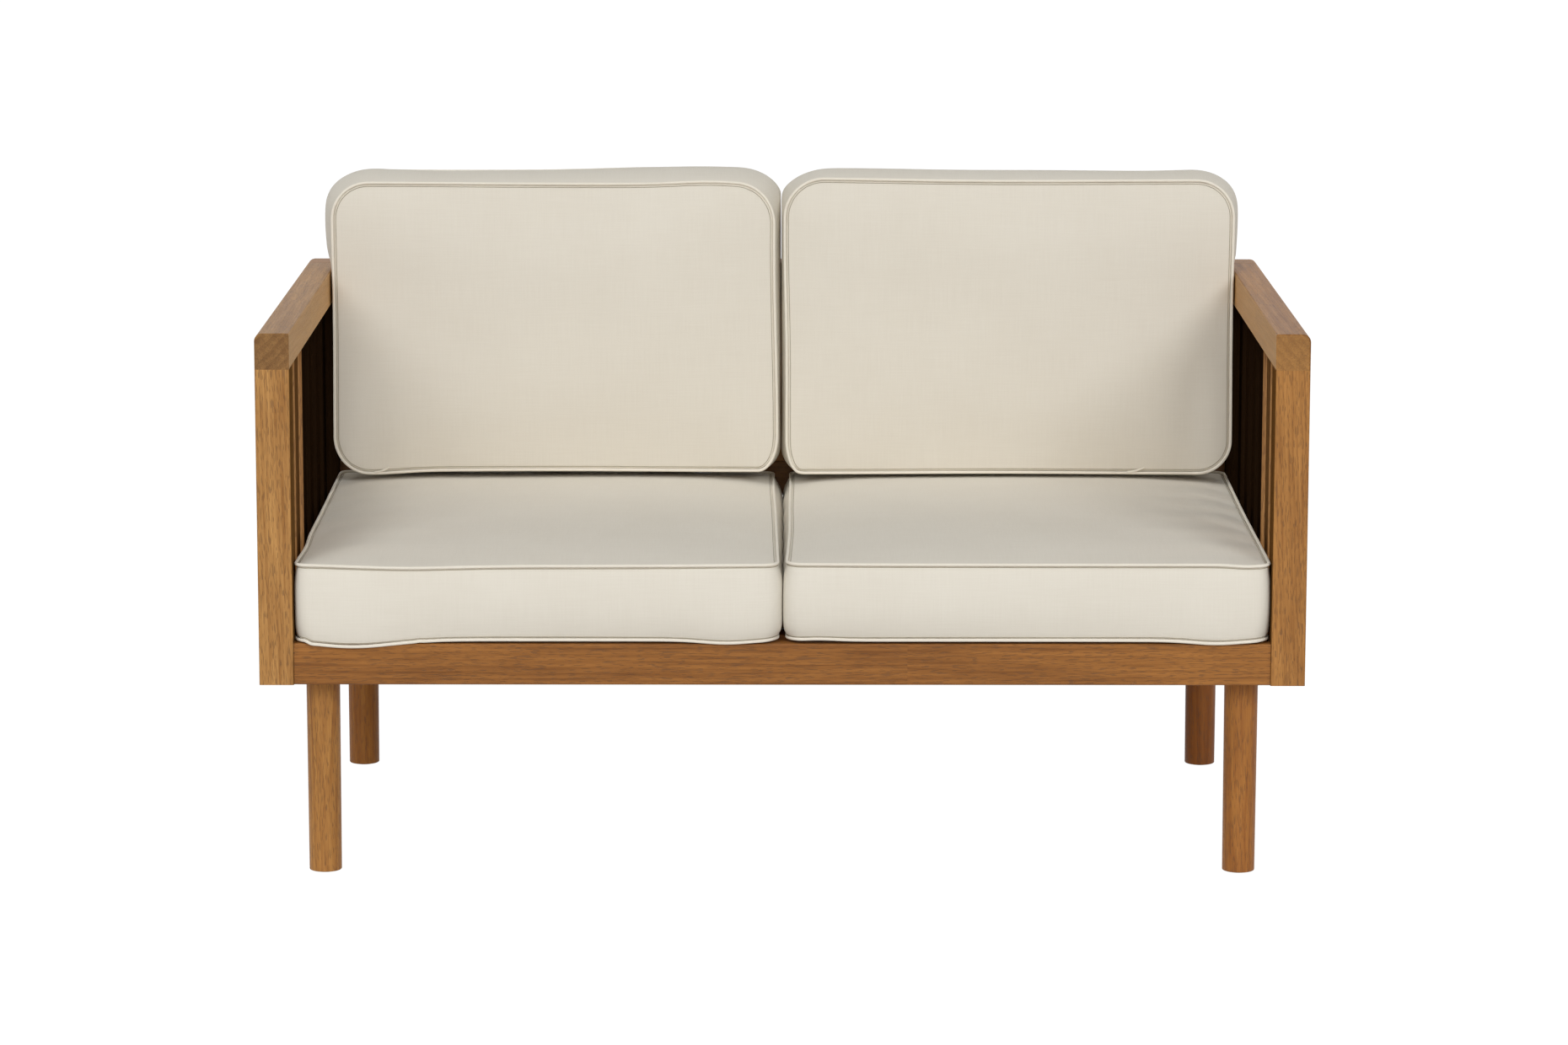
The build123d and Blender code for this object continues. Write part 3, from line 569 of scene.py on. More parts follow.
FOAM_ROOM = 0.006
FULL_START_SHARE = 0.6
PUCKER_DEPTH = 0.0003
PUCKER_WAVE = 0.012
PUCKER_REACH = 0.014
PUCKER_START = 0.002
SOFTNESS = 0.0009
SWELLING = {
    "quality": 5,
    "mass": 0.3,
    "tension_stiffness": 12,
    "compression_stiffness": 12,
    "shear_stiffness": 6,
    "bending_stiffness": 0.6,
    "vertex_group_mass": "seams",
    "use_pressure": True,
    "uniform_pressure_force": 4.0,
}
SWELLING_FRAMES = 20
THREAD_PITCH = 0.0009
SEAM_MARGIN = 0.0030
STITCH_RADIUS = 0.00045
CANVAS = ((230, 224, 211), (217, 209, 194))
PIPING_CLOTH = ((238, 232, 218), (226, 216, 200))
# Stitch thread whose dark tone is painted shade for the creases beside the piping.
STITCH_THREAD_PAINTED_SHADE = ((168, 158, 138), (146, 136, 116))
SLUB_STRETCHES = ((0.55, 0.02, 0), (0.02, 0.55, 4.0), (0.07, 0.004, 0), (0.004, 0.07, 2.0))
SLUB_SHARE = 0.32
BROAD_SLUB_SHARE = 0.08
MOTTLE_SHARE = 0.4
WEAVE_RELIEF_PAINTED_SHADE = 0.25
CLOTH_SHEEN = {"Specular IOR Level": 0.25, "Sheen Weight": 0.1, "Sheen Roughness": 0.4}
SAG_START = 0.0025
MOST_SAG = 0.012
ZIP_TAPE = ((222, 216, 202), (206, 198, 182))
ZIP_ENDS_SHARES = (0.12, 0.88)
TAPE_PROUD = 0.0006
TAPE_THICKNESS = 0.0008
COIL_RADIUS = 0.0011
COIL_RIDGE = 0.0004
SLIDER_HALF = (0.0045, 0.0016, 0.0038)
SLIDER_ROUND = 0.0009
SLIDER_PROUD = 0.0018
PULL_HALF = (0.0105, 0.0006, 0.0026)
PULL_ROUND = 0.0005
PULL_PROUD = 0.0024
PULL_BACK = 0.010
FOAM_YELLOW = ((236, 226, 186), (214, 200, 152))


def outward(loop):
    """The outward direction in its plane at each point of an anticlockwise loop."""
    along = np.roll(loop[:, :2], -1, axis=0) - np.roll(loop[:, :2], 1, axis=0)
    out = np.column_stack((along[:, 1], -along[:, 0]))
    return out / np.linalg.norm(out, axis=1)[:, None]


def places_round(counts):
    """Where each point of a seam lies on it: 0 to 4, one for each side, from the low corner."""
    return np.concatenate([side + np.arange(counts[side % 2]) / counts[side % 2] for side in range(4)])


def near_place(counts, place, spread):
    """How much each point of a seam takes part in something at one place: 1 there, 0 far off."""
    apart = np.abs((places_round(counts) - place + 2) % 4 - 2)
    return np.exp(-((apart / spread) ** 2))


def seam_loop(low, high, height, radii, counts, pull=0.0, nudges=()):
    """A seam: a rounded rectangle whose sides draw in between its corners, as evenly spaced points.

    A radius is one number, or two for a corner that is longer one way. A nudge is a place on the seam,
    how far it goes out and up there, and how much of a side that takes.
    """
    corner = np.array(((low[0], low[1]), (high[0], low[1]), (high[0], high[1]), (low[0], high[1])))
    radii = [np.array(radius) for radius in radii]
    loop = []
    for side in range(4):
        start, end = corner[side], corner[(side + 1) % 4]
        first, last = radii[side], radii[(side + 1) % 4]
        reach = np.linalg.norm(end - start)
        along = (end - start) / reach
        out = np.array((along[1], -along[0]))
        bend = np.linspace(math.pi / 4, math.pi / 2, CORNER_STEPS)[:, None]
        run = np.linspace(0, 1, SIDE_STEPS)[1:-1, None]
        begun = start + first * (along - out + out * np.sin(bend) - along * np.cos(bend))
        drawn_in = out * pull * np.sin(math.pi * run) ** 2
        straight = start + along * (first + run * (reach - first - last)) - drawn_in
        back = bend[::-1]
        ended = end + last * (out * np.sin(back) + along * np.cos(back) - along - out)
        line = np.vstack((begun, straight, ended))
        gone = np.concatenate(([0], np.cumsum(np.linalg.norm(np.diff(line, axis=0), axis=1))))
        even = np.linspace(0, gone[-1], counts[side % 2] + 1)[:-1]
        loop.append(np.column_stack([np.interp(even, gone, line[:, axis]) for axis in (0, 1)]))
    loop = np.vstack(loop)
    out = outward(loop)
    height = np.full(len(loop), float(height))
    for place, proud, lift, spread in nudges:
        weight = near_place(counts, place, spread)
        loop = loop + out * (weight * proud)[:, None]
        height += weight * lift
    return np.column_stack((loop, height))


def cells_round(counts):
    """For each point of a seam, its column and row in the grid of the panel inside it."""
    n, m = counts
    cells = [(i, 0) for i in range(n)] + [(n, j) for j in range(m)]
    return cells + [(n - i, m) for i in range(n)] + [(0, m - j) for j in range(m)]


def panel_inside(loop, counts, crown):
    """The cloth panel within a seam, flat in the middle and rounded down to the seam all round."""
    n, m = counts
    grid = np.zeros((n + 1, m + 1, 3))
    for point, (i, j) in zip(loop, cells_round(counts)):
        grid[i, j] = point
    u = np.linspace(0, 1, n + 1)[:, None, None]
    v = np.linspace(0, 1, m + 1)[None, :, None]
    ruled = (1 - v) * grid[:, :1] + v * grid[:, -1:] + (1 - u) * grid[:1] + u * grid[-1:]
    near = (1 - u) * grid[:1, :1] + u * grid[-1:, :1]
    far = (1 - u) * grid[:1, -1:] + u * grid[-1:, -1:]
    grid = ruled - (1 - v) * near - v * far
    rounding = (1 - np.abs(2 * u - 1) ** CROWN_POWER) * (1 - np.abs(2 * v - 1) ** CROWN_POWER)
    grid[..., 2] += crown * rounding[..., 0]
    return grid


def cushion_form(seams, counts, crowns, bulges):
    """Points and faces of a boxed cushion: the upper panel, the lower panel, then the boxing between."""
    n, m = counts
    lower, upper = seams
    panels = [panel_inside(upper, counts, crowns[1]), panel_inside(lower, counts, -crowns[0])]
    size = (n + 1) * (m + 1)
    ring = [i * (m + 1) + j for i, j in cells_round(counts)]
    around = len(ring)
    out = np.column_stack((outward(lower) + outward(upper), np.zeros(around))) / 2
    bulge = np.full(around, bulges[0])
    for place, amount, spread in bulges[1:]:
        bulge += amount * near_place(counts, place, spread)
    strip = []
    for row in range(1, BOXING_ROWS):
        share = row / BOXING_ROWS
        level = lower * (1 - share) + upper * share
        strip.append(level + out * (bulge * math.sin(math.pi * share**0.75) ** 0.8)[:, None])
    points = np.vstack([panels[0].reshape(-1, 3), panels[1].reshape(-1, 3)] + strip)
    faces = []
    for i in range(n):
        for j in range(m):
            a, b = i * (m + 1) + j, (i + 1) * (m + 1) + j
            faces.append((a, b, b + 1, a + 1))
            faces.append((size + a, size + a + 1, size + b + 1, size + b))
    rows = [[size + k for k in ring]]
    rows += [[2 * size + row * around + k for k in range(around)] for row in range(BOXING_ROWS - 1)]
    rows.append(ring)
    return points, faces + quads(rows), rows


def rows_of(items, key="co"):
    """The places of a mesh's points, or another vector that each item has, one to a row."""
    flat = np.empty(len(items) * 3)
    items.foreach_get(key, flat)
    return flat.reshape(-1, 3)


def move_points(mesh, points):
    mesh.vertices.foreach_set("co", np.ascontiguousarray(points).ravel())
    mesh.update()


def start_swelling(cover, held):
    """Sets a cover up to swell over its foam by cloth simulation, with its seams held."""
    cover.vertex_groups.new(name="seams").add(held, 1.0, "REPLACE")
    swelling = cover.modifiers.new("swelling", "CLOTH")
    for key, value in SWELLING.items():
        setattr(swelling.settings, key, value)
    swelling.settings.effector_weights.gravity = 0.0
    swelling.point_cache.frame_start = 1
    swelling.point_cache.frame_end = SWELLING_FRAMES


def swollen(cover, start, cap):
    """Where the points of a cover have swollen to, none of them more than about cap from its start."""
    solved = cover.evaluated_get(bpy.context.evaluated_depsgraph_get())
    moved = rows_of(solved.data.vertices) - start
    cover.modifiers.clear()
    far = np.linalg.norm(moved, axis=1)[:, None] + 1e-9
    return start + moved / far * cap[:, None] * np.tanh(far / cap[:, None])


def smooth_once(cover):
    """One level of subdivision, applied."""
    modifier = cover.modifiers.new("smooth", "SUBSURF")
    modifier.levels = 1
    modifier.render_levels = 1
    solved = cover.evaluated_get(bpy.context.evaluated_depsgraph_get())
    mesh = bpy.data.meshes.new_from_object(solved)
    old = cover.data
    cover.modifiers.clear()
    cover.data = mesh
    bpy.data.meshes.remove(old)


def finer(loop, times):
    """A closed line with more points, on smooth curves through the ones it has."""
    before, after, second = np.roll(loop, 1, axis=0), np.roll(loop, -1, axis=0), np.roll(loop, -2, axis=0)
    parts = []
    for s in np.arange(times) / times:
        bend = (2 * before - 5 * loop + 4 * after - second) * s**2
        twist = (3 * loop - before - 3 * after + second) * s**3
        parts.append(loop + 0.5 * ((after - before) * s + bend + twist))
    return np.stack(parts, axis=1).reshape(-1, 3)


def pucker(cover, seams, seed):
    """Works small gathers into the cloth along its seams, and a soft unevenness."""
    points = rows_of(cover.data.vertices)
    normals = rows_of(cover.data.vertex_normals, "vector")
    depth = np.array([noise.noise(Vector(p) * 6.0 + Vector((seed, 0, 0))) for p in points]) * SOFTNESS
    for number, line in enumerate(seams):
        line = finer(line, 2)
        tree = KDTree(len(line))
        for k, place in enumerate(line):
            tree.insert(place, k)
        tree.balance()
        gap = np.linalg.norm(np.roll(line, -1, axis=0) - line, axis=1).mean()
        for k, point in enumerate(points):
            place, index, far = tree.find(point)
            if far > 5 * PUCKER_REACH:
                continue
            run = index * gap
            strength = 0.45 + 1.1 * max(0.0, noise.noise((run * 7.0, seed, number)))
            wave = noise.noise((run / PUCKER_WAVE, seed + 7.0 * number, far / PUCKER_WAVE * 0.3))
            fade = math.exp(-far / PUCKER_REACH) * min(1.0, far / PUCKER_START)
            depth[k] += PUCKER_DEPTH * 2.0 * strength * wave * fade
    move_points(cover.data, points + normals * depth[:, None])


def tube_round(name, line, radius, sides=10, closed=True):
    """A round tube along a line of points; radius is a number or one number for each point."""
    along = np.roll(line, -1, axis=0) - np.roll(line, 1, axis=0)
    if not closed:
        along[0] = line[1] - line[0]
        along[-1] = line[-1] - line[-2]
    along /= np.linalg.norm(along, axis=1)[:, None]
    side = np.cross(along, (0.31, 0.22, 0.92))
    side /= np.linalg.norm(side, axis=1)[:, None]
    other = np.cross(along, side)
    radius = np.broadcast_to(radius, len(line))[:, None]
    circle = [2 * math.pi * k / sides for k in range(sides)]
    shell = [line + radius * (side * math.cos(a) + other * math.sin(a)) for a in circle]
    rows = np.arange(len(line) * sides).reshape(-1, sides).tolist()
    if closed:
        faces = quads(rows + rows[:1])
    else:
        faces = quads(rows) + [rows[0][::-1], rows[-1]]
    return smooth_mesh(name, np.stack(shell, axis=1).reshape(-1, 3), faces)


def weave_group():
    """Plain weave on whichever of three planes a surface faces most: threads, slubs, a soft mottle and
    painted shade between the threads.
    """
    names = {"Point": "Vector", "Facing": "Vector", "Pitch": "Float", "Pale": "Color", "Deep": "Color"}
    group, given, made = new_group("plain_weave", names, FINISH_OUTPUTS)
    size = vectors(group, "ABSOLUTE", given["Facing"])
    nx, ny, nz = step(group, "SeparateXYZ", {0: size}).outputs
    x, y, z = step(group, "SeparateXYZ", {0: given["Point"]}).outputs
    sideways = sums(group, "GREATER_THAN", nx, sums(group, "MAXIMUM", ny, nz))
    level = sums(group, "GREATER_THAN", nz, sums(group, "MAXIMUM", nx, ny))
    across = step(group, "Mix", {0: sideways, 2: x, 3: y}).outputs[0]
    along = step(group, "Mix", {0: level, 2: z, 3: y}).outputs[0]
    counts = [sums(group, "DIVIDE", run, given["Pitch"]) for run in (across, along)]
    waves = [sums(group, "SINE", sums(group, "MULTIPLY", count, math.pi)) for count in counts]
    crossing = sums(group, "GREATER_THAN", sums(group, "MULTIPLY", *waves), 0.0)
    warp, weft = [sums(group, "SQRT", sums(group, "ABSOLUTE", wave)) for wave in waves]
    warp_up = sums(group, "MULTIPLY", warp, sums(group, "MULTIPLY_ADD", weft, 0.4, 0.6))
    weft_up = sums(group, "MULTIPLY", weft, sums(group, "MULTIPLY_ADD", warp, 0.4, 0.6))
    thread = step(group, "Mix", {0: crossing, 2: weft_up, 3: warp_up}).outputs[0]
    cell = step(group, "CombineXYZ", dict(enumerate(counts))).outputs[0]
    slub_warp, slub_weft, *broad = [patch(group, cell, way, 1.0, 1.0) for way in SLUB_STRETCHES]
    mottle = patch(group, given["Point"], (1, 1, 1), 9.0, 3.0)
    dark = sums(group, "MULTIPLY", slub_weft, SLUB_SHARE)
    dark = sums(group, "MULTIPLY_ADD", slub_warp, SLUB_SHARE, dark)
    for slub in broad:
        dark = sums(group, "MULTIPLY_ADD", slub, BROAD_SLUB_SHARE, dark)
    dark = sums(group, "MULTIPLY_ADD", mottle, MOTTLE_SHARE, sums(group, "ADD", dark, 0.08))
    # Painted shade of the weave: hollows between the threads darker, thread crowns paler.
    dark = sums(group, "MULTIPLY_ADD", thread, -WEAVE_RELIEF_PAINTED_SHADE, dark)
    colour = colour_mix(group, rise(group, dark, -0.1, 1.3), given["Pale"], given["Deep"])
    group.links.new(colour, made["Colour"])
    group.links.new(sums(group, "MULTIPLY_ADD", slub_weft, 0.1, 0.8), made["Roughness"])
    height = sums(group, "MULTIPLY_ADD", slub_weft, 0.6, thread)
    group.links.new(sums(group, "MULTIPLY_ADD", slub_warp, 0.6, height), made["Height"])
    return group


weave = weave_group()


def canvas(name, tones, turned=0.0):
    """Woven outdoor cloth with a faint sheen; turned is the angle of the weave in bias-cut strips."""
    material, tree = new_tree(name)
    place = step(tree, "TexCoord")
    point = place.outputs["Object"]
    if turned:
        point = step(tree, "Mapping", {"Vector": point, "Rotation": (turned, turned, turned)}).outputs[0]
    given = {"Point": point, "Facing": place.outputs["Normal"], "Pitch": THREAD_PITCH}
    given.update({"Pale": paint(tones[0]), "Deep": paint(tones[1])})
    cloth = step(tree, "Group", given, node_tree=weave)
    bump = step(tree, "Bump", {"Height": cloth.outputs["Height"], "Distance": 0.0002, "Strength": 0.35})
    inputs = {"Base Color": cloth.outputs["Colour"], "Roughness": cloth.outputs["Roughness"]}
    inputs.update({"Normal": bump.outputs[0], **CLOTH_SHEEN})
    return shown(material, step(tree, "BsdfPrincipled", inputs))


def foam_finish():
    """Pale polyurethane foam, open-celled and matt."""
    material, tree = new_tree("cushion_foam")
    place = step(tree, "TexCoord").outputs["Object"]
    cells = step(tree, "TexVoronoi", {"Vector": place, "Scale": 700.0}).outputs["Distance"]
    colour = colour_mix(tree, cells, paint(FOAM_YELLOW[0]), paint(FOAM_YELLOW[1]))
    bump = step(tree, "Bump", {"Height": cells, "Distance": 0.0006, "Strength": 0.8})
    inputs = {"Base Color": colour, "Roughness": 0.9, "Normal": bump.outputs[0]}
    return shown(material, step(tree, "BsdfPrincipled", inputs))


cover_canvas = canvas("cover_canvas", CANVAS)
piping_canvas = canvas("piping_canvas", PIPING_CLOTH, turned=math.pi / 4)
# Dark thread cloth: painted shade for the creases along the seams.
thread_shade_canvas = canvas("seam_thread_painted_shade", STITCH_THREAD_PAINTED_SHADE, turned=math.pi / 4)
tape_canvas = canvas("zip_tape_canvas", ZIP_TAPE)
foam = foam_finish()


def foam_core(name, body, node, seams, counts, crowns, turn):
    """The foam block inside a cover: the cover's own form, cut smaller all round."""
    inner = []
    for seam, lift in zip(seams, (FOAM_ROOM, -FOAM_ROOM)):
        shrunk = seam.copy()
        shrunk[:, :2] -= outward(seam) * FOAM_ROOM
        shrunk[:, 2] += lift
        inner.append(shrunk)
    points, faces, _ = cushion_form(inner, counts, [c * 0.5 for c in crowns], (0.0,))
    core = smooth_mesh(name, points @ turn, faces)
    belong(core, foam, body)
    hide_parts(node)


def piping(name, body, seam, lift, turn, join):
    """Piping in one seam, and the tail where its end is tucked under its beginning and into the seam."""
    out = np.column_stack((outward(seam), np.full(len(seam), lift)))
    line = finer((seam + out * PIPING_PROUD) @ turn, 3)
    belong(tube_round(name, line, PIPING_RADIUS), piping_canvas, body)
    inward = finer((-out * (1.0, 1.0, 0.0) + (0.0, 0.0, lift)) @ turn, 3)
    gap = np.linalg.norm(line[1] - line[0])
    first = int(join / 4 * len(line))
    steps = [(first + k) % len(line) for k in range(int(PIPING_TAIL / gap))]
    share = np.linspace(0, 1, len(steps))[:, None]
    tail = line[steps] + inward[steps] * (TAIL_START + TAIL_DEPTH * share**1.6)
    thin = PIPING_RADIUS * (0.9 - 0.55 * share[:, 0] ** 2)
    belong(tube_round(name + "_tail", tail, thin, closed=False), piping_canvas, body)


def stitching_painted_shade(name, body, cover, seam, lift, turn):
    """Thread rows beside the piping, one on the panel and one on the boxing; their dark tone is painted
    shade for the seam creases.
    """
    mesh = cover.data
    faces = [tuple(face.vertices) for face in mesh.polygons]
    cloth = BVHTree.FromPolygons(rows_of(mesh.vertices).tolist(), faces)
    out = np.column_stack((outward(seam), np.zeros(len(seam))))
    upward = np.array((0.0, 0.0, math.copysign(SEAM_MARGIN, lift)))
    guides = {"panel": seam - out * SEAM_MARGIN + upward, "boxing": seam + out * 0.001 - upward}
    for row, guide in guides.items():
        line = [cloth.find_nearest(point)[0] for point in finer(guide @ turn, 2)]
        thread = tube_round("%s_%s" % (name, row), np.array(line), STITCH_RADIUS, sides=6)
        belong(thread, thread_shade_canvas, body)


def block(name, low, high, rounding, material, body):
    """A small rounded block between two corners."""
    solid = bmesh.new()
    bmesh.ops.create_cube(solid, size=1.0)
    for vertex in solid.verts:
        vertex.co = [l + (h - l) * (c + 0.5) for l, h, c in zip(low, high, vertex.co)]
    bmesh.ops.bevel(solid, geom=solid.edges[:], offset=rounding, segments=3, affect="EDGES", profile=0.5)
    mesh = bpy.data.meshes.new(name)
    solid.to_mesh(mesh)
    solid.free()
    mesh.shade_smooth()
    belong(placed(name, mesh), material, body)


def zip_fastener(name, body, rows, out, hang):
    """A zip along the middle of the boxing: woven tape, a nylon coil, and a steel slider with its pull.

    rows are three lines of points on the boxing, out is the way that it faces, and hang is the way that
    the pull points.
    """
    out, hang = np.array(out), np.array(hang)
    lifted = [row + out * TAPE_PROUD for row in rows]
    points = np.vstack(lifted)
    faces = quads(np.arange(len(points)).reshape(len(rows), -1).tolist(), closed=False)
    tape = smooth_mesh(name + "_tape", points, faces)
    thick = tape.modifiers.new("thick", "SOLIDIFY")
    thick.thickness = TAPE_THICKNESS
    belong(tape, tape_canvas, body)
    middle = lifted[1][1:-1]
    even = np.linspace(0, len(middle) - 1, len(middle) * 8)
    line = np.column_stack([np.interp(even, np.arange(len(middle)), middle[:, axis]) for axis in range(3)])
    ridged = COIL_RADIUS + COIL_RIDGE * (np.arange(len(line)) % 2)
    coil = tube_round(name + "_coil", line + out * TAPE_PROUD, ridged, sides=8, closed=False)
    belong(coil, tape_canvas, body)
    along = np.array((1.0, 0.0, 0.0))
    slider = line[-6] + out * SLIDER_PROUD
    pull = slider + out * PULL_PROUD - along * PULL_BACK
    axes = np.abs((along, out, hang))
    spread = np.array(SLIDER_HALF) @ axes
    block(name + "_slider", slider - spread, slider + spread, SLIDER_ROUND, zinc, body)
    spread = np.array(PULL_HALF) @ axes
    block(name + "_pull", pull - spread, pull + spread, PULL_ROUND, zinc, body)


LYING = np.array(((1, 0, 0), (0, 1, 0), (0, 0, 1)))
STANDING = np.array(((1, 0, 0), (0, 0, 1), (0, -1, 0)))


def make_cushions(kind, cushions, counts, crowns, turn, caps, keep, zip_side, zip_faces):
    """Makes like cushions: covers swollen over foam cores, piping in their seams, and zips."""
    fullness = FULL_START_SHARE
    panel_size = 2 * (counts[0] + 1) * (counts[1] + 1)
    work = []
    for side, made in cushions.items():
        edge_room = PIPING_RADIUS + PIPING_PROUD
        seams = [keep(seam @ turn, side, edge_room) @ turn.T for seam in made["seams"]]
        points, faces, rows = cushion_form(seams, counts, [c * fullness for c in crowns], made["bulges"])
        start = keep(points @ turn, side, 0.0)
        cover = smooth_mesh("%s_cover_shell_%s" % (kind, side), start, faces)
        cap = np.where(np.arange(len(points)) < panel_size, caps[0], caps[1])
        start_swelling(cover, rows[0] + rows[-1])
        work.append((side, made, seams, rows, start, cover, cap))
    for number in range(1, SWELLING_FRAMES + 1):
        scene.frame_set(number)
    shapes = [swollen(cover, start, cap) for *_, start, cover, cap in work]
    scene.frame_set(1)
    for (side, made, seams, rows, start, cover, cap), shape in zip(work, shapes):
        body = "%s_cushion_%s" % (kind, side)
        shape = keep(shape, side, 0.0)
        move_points(cover.data, shape)
        smooth_once(cover)
        pucker(cover, [seam @ turn for seam in seams], made["seed"])
        move_points(cover.data, keep(rows_of(cover.data.vertices), side, 0.0))
        belong(cover, cover_canvas, body)
        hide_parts("%s_cover_%s" % (kind, side))
        core_name = "%s_foam_core_%s" % (kind, side)
        foam_core(core_name, body, "%s_foam_%s" % (kind, side), seams, counts, crowns, turn)
        for label, seam, lift, join in zip(("lower", "upper"), seams, (-0.3, 0.3), made["joins"]):
            piping("%s_piping_%s_%s" % (kind, label, side), body, seam, lift, turn, join)
            # Dark stitch rows beside the piping: painted shade for the seam creases.
            stitching_painted_shade("%s_thread_%s_%s" % (kind, label, side), body, cover, seam, lift, turn)
        first = (0, counts[0], sum(counts), sum(counts) + counts[0])[zip_side]
        length = counts[zip_side % 2]
        begin, finish = (round(length * share) for share in ZIP_ENDS_SHARES)
        span = [first + k for k in range(begin, finish)]
        lines = [shape[[rows[row][k] for k in span]] for row in (BOXING_ROWS // 2 + s for s in (-1, 0, 1))]
        zip_fastener("%s_zip_%s" % (kind, side), body, lines, *zip_faces)


def clear_sides(points, side, reach, midline):
    """Keeps points between the arms and on their own side of the wavy line between two cushions."""
    inner = 1 if side == "right" else -1
    points[:, 0] = np.clip(points[:, 0], -reach, reach)
    points[:, 0] = np.maximum(points[:, 0] * inner, midline * inner + TOUCHING_ROOM) * inner
    return points


def keep_seat(points, side, room):
    """Keeps a seat cushion on the deck, between the arms, off its neighbour and off the back."""
    midline = SEAT_MIDLINE + WANDER * np.sin(points[:, 1] / WANDER_RUN)
    points = clear_sides(points.copy(), side, BETWEEN_POSTS - room, midline)
    past_rail = np.clip((RAIL_FRONT - points[:, 1]) / SAG_START, 0, 1)
    points[:, 2] = np.maximum(points[:, 2], DECK_TOP + TOUCHING_ROOM + room - MOST_SAG * past_rail)
    points[:, 1] = np.minimum(points[:, 1], BACK_PLANE - TOUCHING_ROOM - room)
    return points


def seat_seams(side, lower_nudges, upper_nudges, upper_radii):
    low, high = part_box("seat_cover_" + side)
    near = (low[0] + SEAT_SEAM_INSET, low[1] + SEAT_SEAM_INSET)
    far = (high[0] - SEAT_SEAM_INSET, high[1] - SEAT_SEAM_INSET)
    radii = [SEAT_LOWER_RADIUS] * 4
    lower = seam_loop(near, far, low[2] + SEAT_SEAM_RISE, radii, SEAT_COUNTS, SEAM_PULL, lower_nudges)
    upper = seam_loop(near, far, high[2] - SEAT_CROWN, upper_radii, SEAT_COUNTS, SEAM_PULL, upper_nudges)
    return lower, upper


seat_cushions = {
    "left": {
        "seams": seat_seams(
            "left",
            lower_nudges=(
                (0.11, 0.0055, -0.0075, 0.12),
                (0.90, 0.004, -0.003, 0.07),
                (1.5, -0.004, 0, 0.5),
            ),
            upper_nudges=(
                (0.5, 0, -0.003, 0.6),
                (0.22, 0, -0.003, 0.15),
                (1.95, -0.008, 0, 0.45),
                (1.2, -0.002, 0, 0.3),
                (3.84, -0.003, 0, 0.10),
            ),
            upper_radii=(0.011, 0.018, 0.018, 0.014),
        ),
        "bulges": (0.0055, (1.5, 0.0072, 0.9), (1.9, 0.008, 0.25)),
        "joins": (2.3, 2.7),
        "seed": 3.0,
    },
    "right": {
        "seams": seat_seams(
            "right",
            lower_nudges=((0.90, 0.004, -0.003, 0.07), (0.06, 0, 0.0015, 0.05), (3.5, -0.004, 0, 0.5)),
            upper_nudges=(
                (0.5, 0, -0.001, 0.6),
                (0.96, 0, -0.002, 0.04),
                (3.05, -0.007, 0, 0.4),
                (3.7, -0.004, 0, 0.3),
            ),
            upper_radii=(0.020, 0.010, 0.016, 0.018),
        ),
        "bulges": (0.0055, (3.5, 0.0072, 0.9), (3.1, 0.008, 0.25)),
        "joins": (2.6, 2.2),
        "seed": 11.0,
    },
}
make_cushions(
    "seat",
    seat_cushions,
    SEAT_COUNTS,
    crowns=(0.0, SEAT_CROWN),
    turn=LYING,
    caps=(0.006, 0.003),
    keep=keep_seat,
    zip_side=2,
    zip_faces=((0, 1, 0), (0, 0, 1)),
)


# Back cushions
# Two loose cushions of the same make, which stand on the seat cushions and lean on the back slats.
# Their boxing swells out past the piping and over the arms, and a zip closes the bottom.
BACK_CROWN = 0.015
BACK_SEAM_REAR = 0.005
BACK_COUNTS = (84, 58)
BACK_MIDLINE = -0.0018
ARM_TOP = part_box("arm_left")[1][2]
ARM_CLEARANCE = 0.004
ARM_CLIMB = 0.03
OVER_ARM = 0.0108
BACK_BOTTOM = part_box("back_cover_left")[0][2]


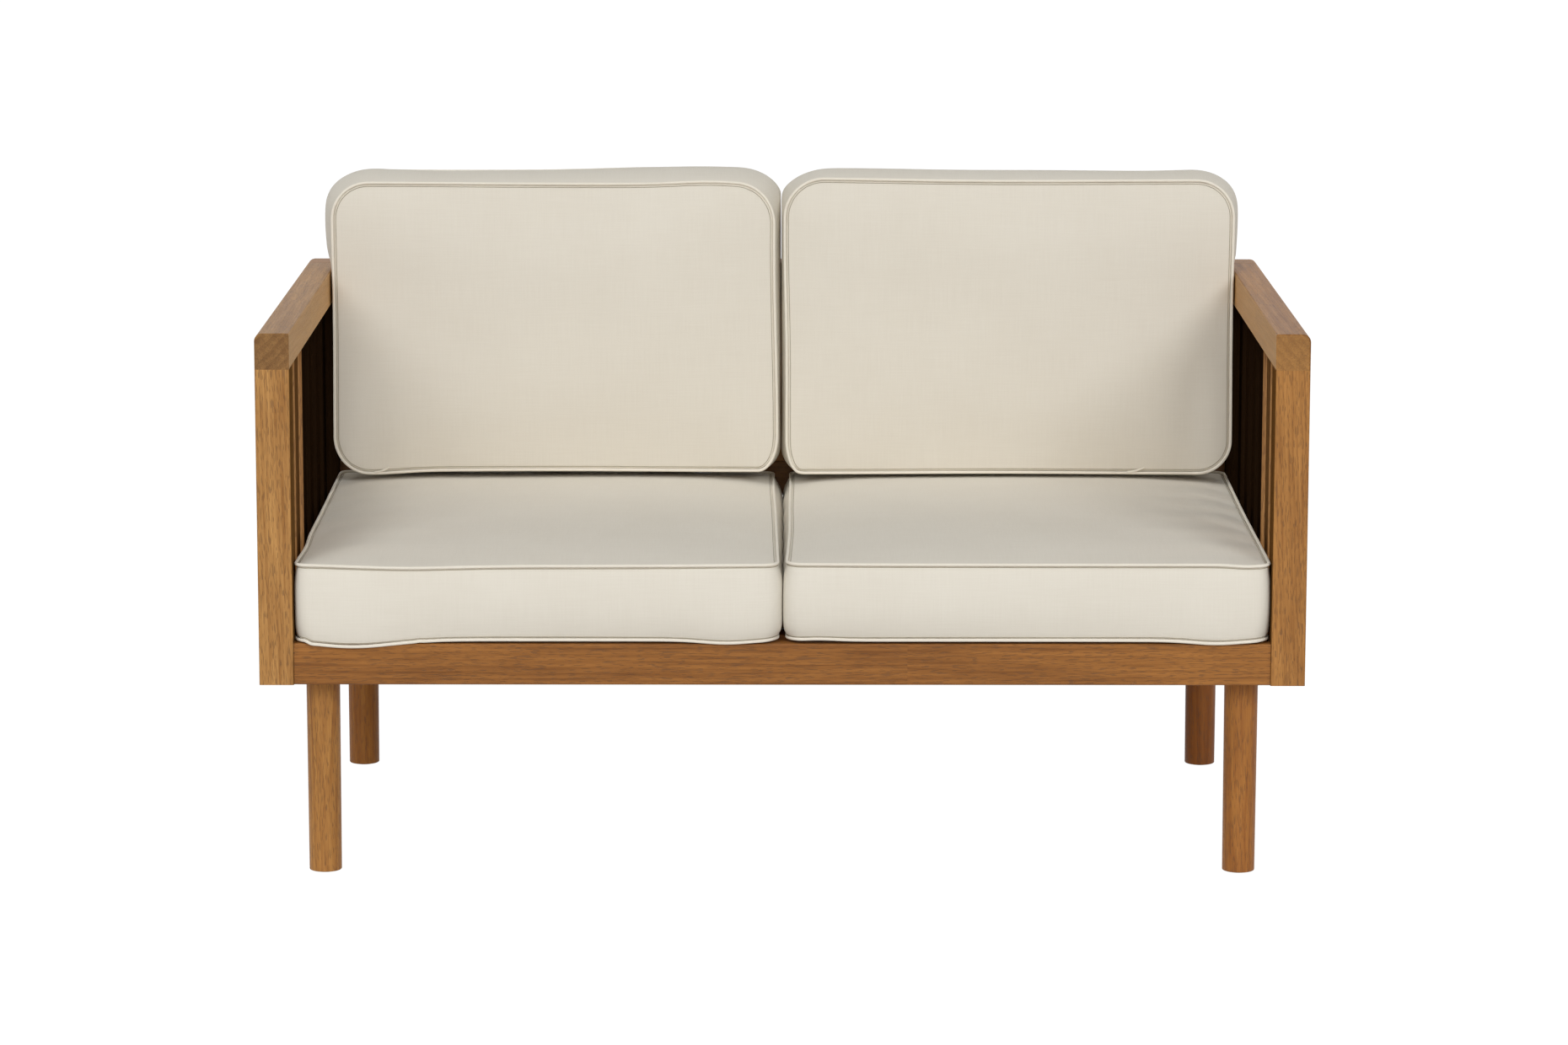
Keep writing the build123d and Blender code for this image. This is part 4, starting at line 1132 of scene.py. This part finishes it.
def keep_back(points, side, room):
    """Keeps a back cushion between the arms, off its neighbour, off the back and above the seat."""
    climb = np.clip((points[:, 2] - ARM_TOP - ARM_CLEARANCE) / ARM_CLIMB, 0, 1)
    reach = BETWEEN_POSTS - room + OVER_ARM * climb**2 * (3 - 2 * climb)
    points = clear_sides(points.copy(), side, reach, BACK_MIDLINE)
    points[:, 1] = np.minimum(points[:, 1], BACK_PLANE - TOUCHING_ROOM - room)
    points[:, 2] = np.maximum(points[:, 2], BACK_BOTTOM + TOUCHING_ROOM + room)
    return points


def back_seams(side, front, rear, front_radii, rear_radii, front_nudges, rear_nudges):
    low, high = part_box("back_cover_" + side)
    front_seam = seam_loop(*front, -low[1] - BACK_CROWN, front_radii, BACK_COUNTS, SEAM_PULL, front_nudges)
    rear_seam = seam_loop(*rear, -high[1] + BACK_SEAM_REAR, rear_radii, BACK_COUNTS, 0.0, rear_nudges)
    return rear_seam, front_seam


back_cushions = {
    "left": {
        "seams": back_seams(
            "left",
            front=((-0.5875, 0.4155), (-0.0082, 0.7935)),
            rear=((-0.5892, 0.4150), (-0.0065, 0.7975)),
            front_radii=(0.044, (0.024, 0.046), 0.052, 0.046),
            rear_radii=(0.036, (0.026, 0.040), (0.050, 0.034), (0.058, 0.033)),
            front_nudges=((0.07, 0.0040, 0, 0.09), (2.13, 0.0040, 0, 0.11), (1.85, -0.004, 0, 0.35)),
            rear_nudges=((2.25, 0.004, 0, 0.2), (3.10, 0.003, 0, 0.16)),
        ),
        "bulges": (0.005, (3.15, 0.007, 0.2), (1.5, 0.006, 1.2)),
        "joins": (2.5, 0.085),
        "seed": 19.0,
    },
    "right": {
        "seams": back_seams(
            "right",
            front=((0.0070, 0.4125), (0.5885, 0.7975)),
            rear=((0.0040, 0.4125), (0.5892, 0.7966)),
            front_radii=((0.018, 0.044), 0.042, 0.048, 0.048),
            rear_radii=((0.022, 0.040), 0.036, (0.050, 0.031), (0.070, 0.034)),
            front_nudges=((3.2, 0.003, 0, 0.4),),
            rear_nudges=((1.92, 0.003, 0, 0.16),),
        ),
        "bulges": (0.005, (1.85, 0.0040, 0.2), (3.5, 0.006, 1.2)),
        "joins": (2.4, 0.925),
        "seed": 29.0,
    },
}
make_cushions(
    "back",
    back_cushions,
    BACK_COUNTS,
    crowns=(0.004, BACK_CROWN),
    turn=STANDING,
    caps=(0.007, 0.004),
    keep=keep_back,
    zip_side=0,
    zip_faces=((0, 0, -1), (0, 1, 0)),
)
